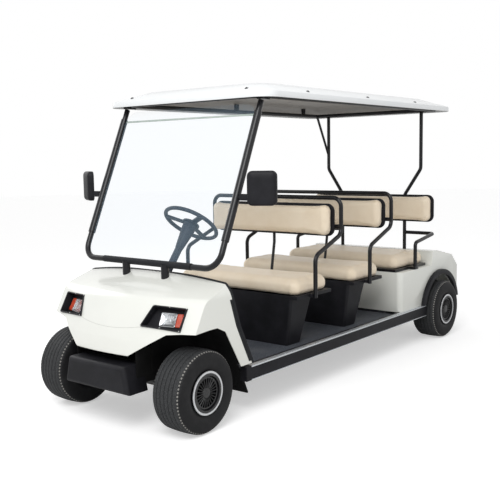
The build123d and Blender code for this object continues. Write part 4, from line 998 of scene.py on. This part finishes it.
def makeTrimBands(look):
    # the edge trim's outer flange, laid on both sides of the cowl along its rear edge
    trim = [v.co for v in cad["cowl_trim"].data.vertices]
    rear = sorted((p.z, p.y) for p in trim if p.x > look["trimSide"])
    bands = []
    for side in (-1, 1):
        rows = []
        out = Vector((side * look["lift"], 0.0, 0.0))
        for step in range(look["steps"] + 1):
            z = look["low"] + (look["high"] - look["low"]) * step / look["steps"]
            split = z + look["slack"]
            below = max((pair for pair in rear if pair[0] <= split), key=lambda pair: (pair[0], -pair[1]))
            above = min((pair for pair in rear if pair[0] > split), default=below)
            share = (z - below[0]) / (above[0] - below[0]) if above[0] > below[0] else 0.0
            edge = below[1] + (above[1] - below[1]) * min(max(share, 0.0), 1.0)
            starts = [(side * look["far"], edge - back, z) for back in (look["width"], look["lift"])]
            row = [place for place, normal in castOn("front_cowl", starts, (-side, 0.0, 0.0)) if place]
            if len(row) == 2:
                rows.append([row[0] - out, row[1] - out, row[1] + out, row[0] + out])
        bands.append(gridMesh("band", rows))
    newPiece("cowlTrimBands", joinedMesh("bands", bands), "blackTrim")


roofScrewLook = {
    "sides": [(0.615, -0.60), (0.615, 0.10), (0.615, 0.78)], "front": [(0.47, -1.0), (-0.47, -1.0)],
    "above": 2.2,
    "screw": {"Radius": 0.0078, "Height": 0.0060, "Washer": 1.5, "Sides": 6},
}


def makeRoofScrews(look):
    spots = [(side * x, y) for x, y in look["sides"] for side in (-1, 1)] + look["front"]
    hits = castOn("roof_canopy", [(x, y, look["above"]) for x, y in spots], (0.0, 0.0, -1.0))
    spots = [(place, normal if normal.z > 0 else -normal) for place, normal in hits if place]
    screws = darkBolts.grown("roofScrews", pointsMesh("roofSpots", spots), look["screw"])
    newPiece("roofScrews", screws, "blackPlastic")


# a faint joint low on the nose
hoodLook = {"half": 30, "step": 2, "far": -2.2, "level": 0.553, "rise": 0.35,
            "section": [(0.001, -0.0014), (-0.0003, -0.0014), (-0.0003, 0.0014), (0.001, 0.0014)]}


def makeHoodLine(look):
    # spots every few centimetres, on a shallow curve
    across = [spot / 100 for spot in range(-look["half"], look["half"] + 1, look["step"])]
    starts = [(x, look["far"], look["level"] + look["rise"] * x ** 2) for x in across]
    rows = [[place + Vector((0.0, depth, lift)) for depth, lift in look["section"]]
            for place, normal in castOn("front_cowl", starts, (0.0, 1.0, 0.0)) if place]
    newPiece("hoodLine", gridMesh("hoodLine", rows), "hoodShade")


# black plates beside and under the nose: partly the dark parts there, partly painted shade where the floor
# under the car lies in shadow
shadeGuardLook = {"x": 0.241, "front": -1.70, "rear": -1.42, "low": 0.262, "high": 0.450, "thick": 0.0035,
             "trayFront": -1.640, "trayRear": -1.25, "trayZ": 0.300, "ease": 0.001}


def makeShadeGuards(look):
    # these black sheets stand partly for painted shade under the nose
    half = look["thick"] / 2
    bars = [barMesh("shadeGuard", (side * look["x"] - half, look["front"], look["low"]),
                    (side * look["x"] + half, look["rear"], look["high"]), look["ease"]) for side in (-1, 1)]
    bars.append(barMesh("shadeTray", (-look["x"], look["trayFront"], look["trayZ"]),
                        (look["x"], look["trayRear"], look["trayZ"] + look["thick"]), look["ease"]))
    newPiece("noseGuardsAndShade", joinedMesh("guardsAndShade", bars), "blackLiner")


braceLook = {"radius": 0.010, "steps": 16, "foot": (-0.437, 1.240, 1.491), "top": (-0.437, 1.075, 1.800)}


def makeBrace(look):
    foot, top = Vector(look["foot"]), Vector(look["top"])
    profile = [(look["radius"], 0.0), (look["radius"], (top - foot).length)]
    newPiece("postBrace", turnedMesh("brace", foot, top - foot, profile, look["steps"]), "blackSteel")


makeTrimBands(bandLook)
makeRoofScrews(roofScrewLook)
makeHoodLine(hoodLook)
makeShadeGuards(shadeGuardLook)
makeBrace(braceLook)
print("small fittings made")


tyreLook = {
    "steps": 288,          # round the wheel
    "ribs": 6,
    "ribShares": (0.0, 0.14, 0.5, 0.86, 1.0), "ribEdge": 0.0012,
    "groove": 0.0045,      # width
    "grooveFloor": 0.3,    # of that width, to each side
    "grooveDepth": 0.006,
    "zigzag": 0.0016,
    "notches": 72, "notchDepth": 0.004, "notchShare": 0.34,
    "treadShare": 0.80,    # of the tyre's width
    "crown": 0.004,
    "shoulderOut": 0.004, "shoulderDrop": 0.006,
    # share of the width and radius, from the bead to the shoulder
    "wall": [(0.42, 0.114), (0.44, 0.120), (0.455, 0.128), (0.49, 0.138), (0.50, 0.152),
             (0.50, 0.168), (0.497, 0.184), (0.485, 0.198), (0.462, 0.211)],
    "angle": 38.0, "wornDepth": 0.016, "wornFade": 0.008,
    "toothPhase": 0.67, "toothOut": 0.0045, "toothDrop": 0.0072, "toothLean": (0.75, 0.65),
    "tooth": {"Radius": 0.0048, "Height": 0.0010, "Washer": 1.15, "Sides": 4},
}


def tyreProfile(width, radius, look):
    # (across, radius, kind) from the inner bead over the tread to the outer bead
    treadHalf = width / 2 * look["treadShare"]
    pitch = 2 * treadHalf / look["ribs"]
    groove = look["groove"]
    shoulder = (treadHalf + look["shoulderOut"], radius - look["crown"] - look["shoulderDrop"])

    def crowned(x):
        return radius - look["crown"] * (x / treadHalf) ** 2

    points = [(-share * width, r, "side") for share, r in look["wall"]]
    points.append((-shoulder[0], shoulder[1], "shoulder"))
    for rib in range(look["ribs"]):
        start = -treadHalf + rib * pitch
        for share in look["ribShares"]:
            x = start + groove / 2 + (pitch - groove) * share
            inside = 0.0 < share < 1.0
            points.append((x, crowned(x) - (0.0 if inside else look["ribEdge"]), "rib" if inside else "edge"))
        if rib < look["ribs"] - 1:
            x, reach = start + pitch, groove * look["grooveFloor"]
            for edge in (x - reach, x + reach):
                points.append((edge, crowned(x) - look["grooveDepth"], "floor"))
    points.append((*shoulder, "shoulder"))
    points.extend((share * width, r, "side") for share, r in reversed(look["wall"]))
    return points


def makeTyre(corner, look):
    node = "tyre_" + corner
    body = cad[node]["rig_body"]
    low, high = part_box(node)
    centre = (low + high) / 2
    radius = (high.z - low.z) / 2
    profile = tyreProfile(high.x - low.x, radius, look)
    rows = []
    for step in range(look["steps"]):
        turn = 2 * math.pi * step / look["steps"]
        beat = step * look["notches"] / look["steps"] % 1.0
        saw = abs(beat * 2 - 1) * 2 - 1
        row = []
        for x, r, kind in profile:
            if kind in ("edge", "floor"):
                x += saw * look["zigzag"]
            if kind == "shoulder" and beat < look["notchShare"]:
                r -= look["notchDepth"]
            row.append(centre + Vector((x, r * math.sin(turn), r * math.cos(turn))))
        rows.append(row)
    mesh = gridMesh("tyre" + corner, rows, ring=True, angle=look["angle"])
    tread = mesh.attributes.new("tread", "FLOAT", "POINT")
    for number, vert in enumerate(mesh.vertices):
        reach = math.hypot(vert.co.y - centre.y, vert.co.z - centre.z)
        tread.data[number].value = min(max((reach - radius + look["wornDepth"]) / look["wornFade"], 0.0), 1.0)
    newPiece(node + "_tread", mesh, "tyre", body, (node,))

    # a ring of pale teeth on each shoulder: partly scuffed rubber, partly a painted highlight
    spots = []
    out = (high.x - low.x) / 2 * look["treadShare"] + look["toothOut"]
    foot = radius - look["crown"] - look["toothDrop"]
    lean, rise = look["toothLean"]
    for way in (-1, 1):
        for tooth in range(look["notches"]):
            turn = 2 * math.pi * (tooth + look["toothPhase"]) / look["notches"]
            spoke = Vector((0.0, math.sin(turn), math.cos(turn)))
            place = centre + Vector((way * out, 0.0, 0.0)) + spoke * foot
            spots.append((place, Vector((way * lean, 0.0, 0.0)) + spoke * rise))
    teeth = shoulderTeeth.grown("teeth", pointsMesh("toothSpots", spots), look["tooth"])
    newPiece(node + "_teeth", teeth, "paleRubber", body)


for corner in wheelCorners:
    makeTyre(corner, tyreLook)
print("tyres made")


clothLook = {"voxel": 0.009, "pressure": 4.0, "frames": 20, "quality": 4, "stretch": 15.0, "bend": 0.6}
# low and high are insets of the box, cap is how far the cloth may swell, rest is which way the flat side looks
cushionLook = {"name": "cushion", "low": (0.006, 0.006, 0.0), "high": (0.006, 0.006, 0.010), "corner": 0.055,
               "edge": 0.036, "cap": 0.016, "depthAxis": 2, "rest": -1}
backLook = {"name": "backrest", "low": (0.005, 0.008, 0.005), "high": (0.005, 0.0, 0.005), "corner": 0.045,
            "edge": 0.022, "cap": 0.012, "depthAxis": 1, "rest": 1}


def roundedBlock(low, high, look):
    # a block with rounded corners in its face and rounded edges, built up along its depth axis
    depthAxis = look["depthAxis"]
    face = [axis for axis in range(3) if axis != depthAxis]
    edge, steps, cornerSteps, smallest = look["edge"], 6, 8, 0.004
    centre, half = (low + high) / 2, (high - low) / 2
    tilts = [step / steps * math.pi / 2 for step in range(steps + 1)]
    levels = [(edge * (1 - math.sin(tilt)), edge * (1 - math.cos(tilt)) - half[depthAxis]) for tilt in tilts]
    levels += [(edge * (1 - math.cos(tilt)), half[depthAxis] - edge * (1 - math.sin(tilt))) for tilt in tilts]
    rows = []
    for inset, depth in levels:
        reach = [half[axis] - inset for axis in face]
        row = []
        for spot in roundedLoop(*reach, max(look["corner"] - inset, smallest), cornerSteps):
            point = Vector()
            point[face[0]], point[face[1]], point[depthAxis] = *spot, depth
            row.append(centre + point)
        rows.append(row)
    return rows


def swell(mesh, low, high, look, cloth):
    # inflates a closed shape as cloth, keeps it within cap of its start and flat on the side it rests on
    piece = bpy.data.objects.new("swelling", mesh)
    scene.collection.objects.link(piece)
    remesh = piece.modifiers.new("even", "REMESH")
    remesh.mode = "VOXEL"
    remesh.voxel_size = cloth["voxel"]
    applyModifiers(piece)
    start = [vert.co.copy() for vert in piece.data.vertices]
    made = piece.modifiers.new("cloth", "CLOTH")
    made.settings.quality = cloth["quality"]
    made.settings.use_pressure = True
    made.settings.uniform_pressure_force = cloth["pressure"]
    made.settings.tension_stiffness = cloth["stretch"]
    made.settings.compression_stiffness = cloth["stretch"]
    made.settings.bending_stiffness = cloth["bend"]
    made.settings.effector_weights.gravity = 0.0
    made.collision_settings.use_collision = False
    made.collision_settings.use_self_collision = False
    made.point_cache.frame_start = 1
    made.point_cache.frame_end = cloth["frames"]
    for step in range(1, cloth["frames"] + 1):
        scene.frame_set(step)
    applyModifiers(piece)
    scene.frame_set(1)
    for vert, was in zip(piece.data.vertices, start):
        move = vert.co - was
        if move.length > look["cap"]:
            vert.co = was + move * (look["cap"] / move.length)
    axis = look["depthAxis"]
    for vert in piece.data.vertices:
        vert.co[axis] = max(vert.co[axis], low[axis]) if look["rest"] < 0 else min(vert.co[axis], high[axis])
    smooth = piece.modifiers.new("soft", "SUBSURF")
    smooth.levels = 1
    smooth.render_levels = 1
    applyModifiers(piece)
    done = piece.data
    bpy.data.objects.remove(piece)
    done.shade_smooth()
    return done


def makePad(box, look):
    low, high = box
    rows = roundedBlock(low + Vector(look["low"]), high - Vector(look["high"]), look)
    return swell(gridMesh(look["name"], rows), low, high, look, clothLook)


def rowMeshes(boxes, look):
    # rows 1 and 2 share a form, and row 3 has its own
    first, third = makePad(boxes[0], look), makePad(boxes[2], look)
    second = first.copy()
    second.transform(Matrix.Translation(boxes[1][0] - boxes[0][0]))
    return enumerate((first, second, third), 1)


for row, mesh in rowMeshes([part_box(f"seat_cushion_{row}") for row in (1, 2, 3)], cushionLook):
    cushion = newPiece(f"cushion{row}", mesh, "vinyl", f"seat_lid_{row}", (f"seat_cushion_{row}",))
for row, mesh in rowMeshes([solidBox(points) for points, faces in solids("backrests")], backLook):
    back = newPiece(f"backrest{row}", mesh, "vinyl", "chassis", ("backrests",))
print("cushions and backrests swollen")


stageLook = {
    "camera": (3.2744, -4.4864, 1.4601), "yaw": 38.751, "pitch": 6.683, "roll": -0.944,
    "lens": 56.05, "sensor": 36.0,
    "skyLight": 0.60, "floorRadius": 30.0, "floorSides": 96,
    "floorShade": 0.84, "floorPatch": 0.985, "floorGlow": 0.46, "aim": (0.0, -0.2, 0.7),
    "lights": [("key", (2.2, -4.6, 4.6), 3.4, 175.0), ("fill", (-4.8, -1.0, 3.4), 3.0, 40.0)],
}


def makeFloor(look):
    mesh = bpy.data.meshes.new("floor")
    shape = bmesh.new()
    bmesh.ops.create_circle(shape, cap_ends=True, segments=look["floorSides"], radius=look["floorRadius"])
    shape.to_mesh(mesh)
    shape.free()
    floor = bpy.data.objects.new("floor", mesh)
    scene.collection.objects.link(floor)
    shade = (look["floorShade"],) * 3
    paper = Finish("paleFloor", shade, Roughness=0.9, Specular_IOR_Level=0.1)
    paper.set("Base Color", paper.mix(paper.noise(1.2, detail=3.0), shade, scaled(shade, look["floorPatch"])))
    seen = paper.add("ShaderNodeLightPath")
    glow = paper.add("ShaderNodeEmission", {}, {"Color": (*even, 1.0), "Strength": look["floorGlow"]})
    black = paper.add("ShaderNodeEmission", {}, {"Color": (0.0, 0.0, 0.0, 1.0), "Strength": 0.0})
    chosen = paper.add("ShaderNodeMixShader", {}, {0: seen, 1: black, 2: glow})
    both = paper.add("ShaderNodeAddShader", {}, {0: Wire(paper, paper.shader.outputs[0]), 1: chosen})
    paper.tree.links.new(both.socket, paper.output.inputs["Surface"])
    mesh.materials.append(paper.material)


def makeSky(look):
    # white where the camera, a gloss or a clear pane sees it, dimmer as a light
    world = bpy.data.worlds.new("studio")
    scene.world = world
    world.use_nodes = True
    world.node_tree.nodes.clear()
    sky = NodeMaker(world.node_tree)
    path = sky.tree.nodes.new("ShaderNodeLightPath")
    rays = ("Camera", "Glossy", "Transmission")
    camera, gloss, clear = (Wire(sky, path.outputs[f"Is {ray} Ray"]) for ray in rays)
    strength = look["skyLight"] + (1.0 - look["skyLight"]) * (camera + gloss + clear).maths("MINIMUM", 1.0)
    back = sky.add("ShaderNodeBackground", {}, {"Color": (*even, 1.0), "Strength": strength})
    out = sky.tree.nodes.new("ShaderNodeOutputWorld")
    sky.tree.links.new(back.socket, out.inputs["Surface"])


def makeLights(look):
    for name, place, size, power in look["lights"]:
        lamp = bpy.data.lights.new(name, "AREA")
        lamp.shape = "DISK"
        lamp.size = size
        lamp.energy = power
        holder = bpy.data.objects.new(name, lamp)
        holder.location = place
        holder.rotation_euler = (Vector(look["aim"]) - Vector(place)).to_track_quat("-Z", "Y").to_euler()
        scene.collection.objects.link(holder)


def makeCamera(look):
    yaw, pitch, roll = (math.radians(look[key]) for key in ("yaw", "pitch", "roll"))
    ahead = Vector((-math.sin(yaw) * math.cos(pitch), math.cos(yaw) * math.cos(pitch), -math.sin(pitch)))
    right = Vector((math.cos(yaw), math.sin(yaw), 0.0))
    up = right.cross(ahead)
    across = right * math.cos(roll) + up * math.sin(roll)
    upward = up * math.cos(roll) - right * math.sin(roll)
    lens = bpy.data.cameras.new("camera")
    lens.lens = look["lens"]
    lens.sensor_width = look["sensor"]
    camera = bpy.data.objects.new("camera", lens)
    turn = Matrix((across, upward, -ahead)).transposed().to_4x4()
    camera.matrix_world = Matrix.Translation(look["camera"]) @ turn
    scene.collection.objects.link(camera)
    scene.camera = camera
    scene.view_settings.view_transform = "Standard"


for make in (makeFloor, makeSky, makeLights, makeCamera):
    make(stageLook)
print("stage set")
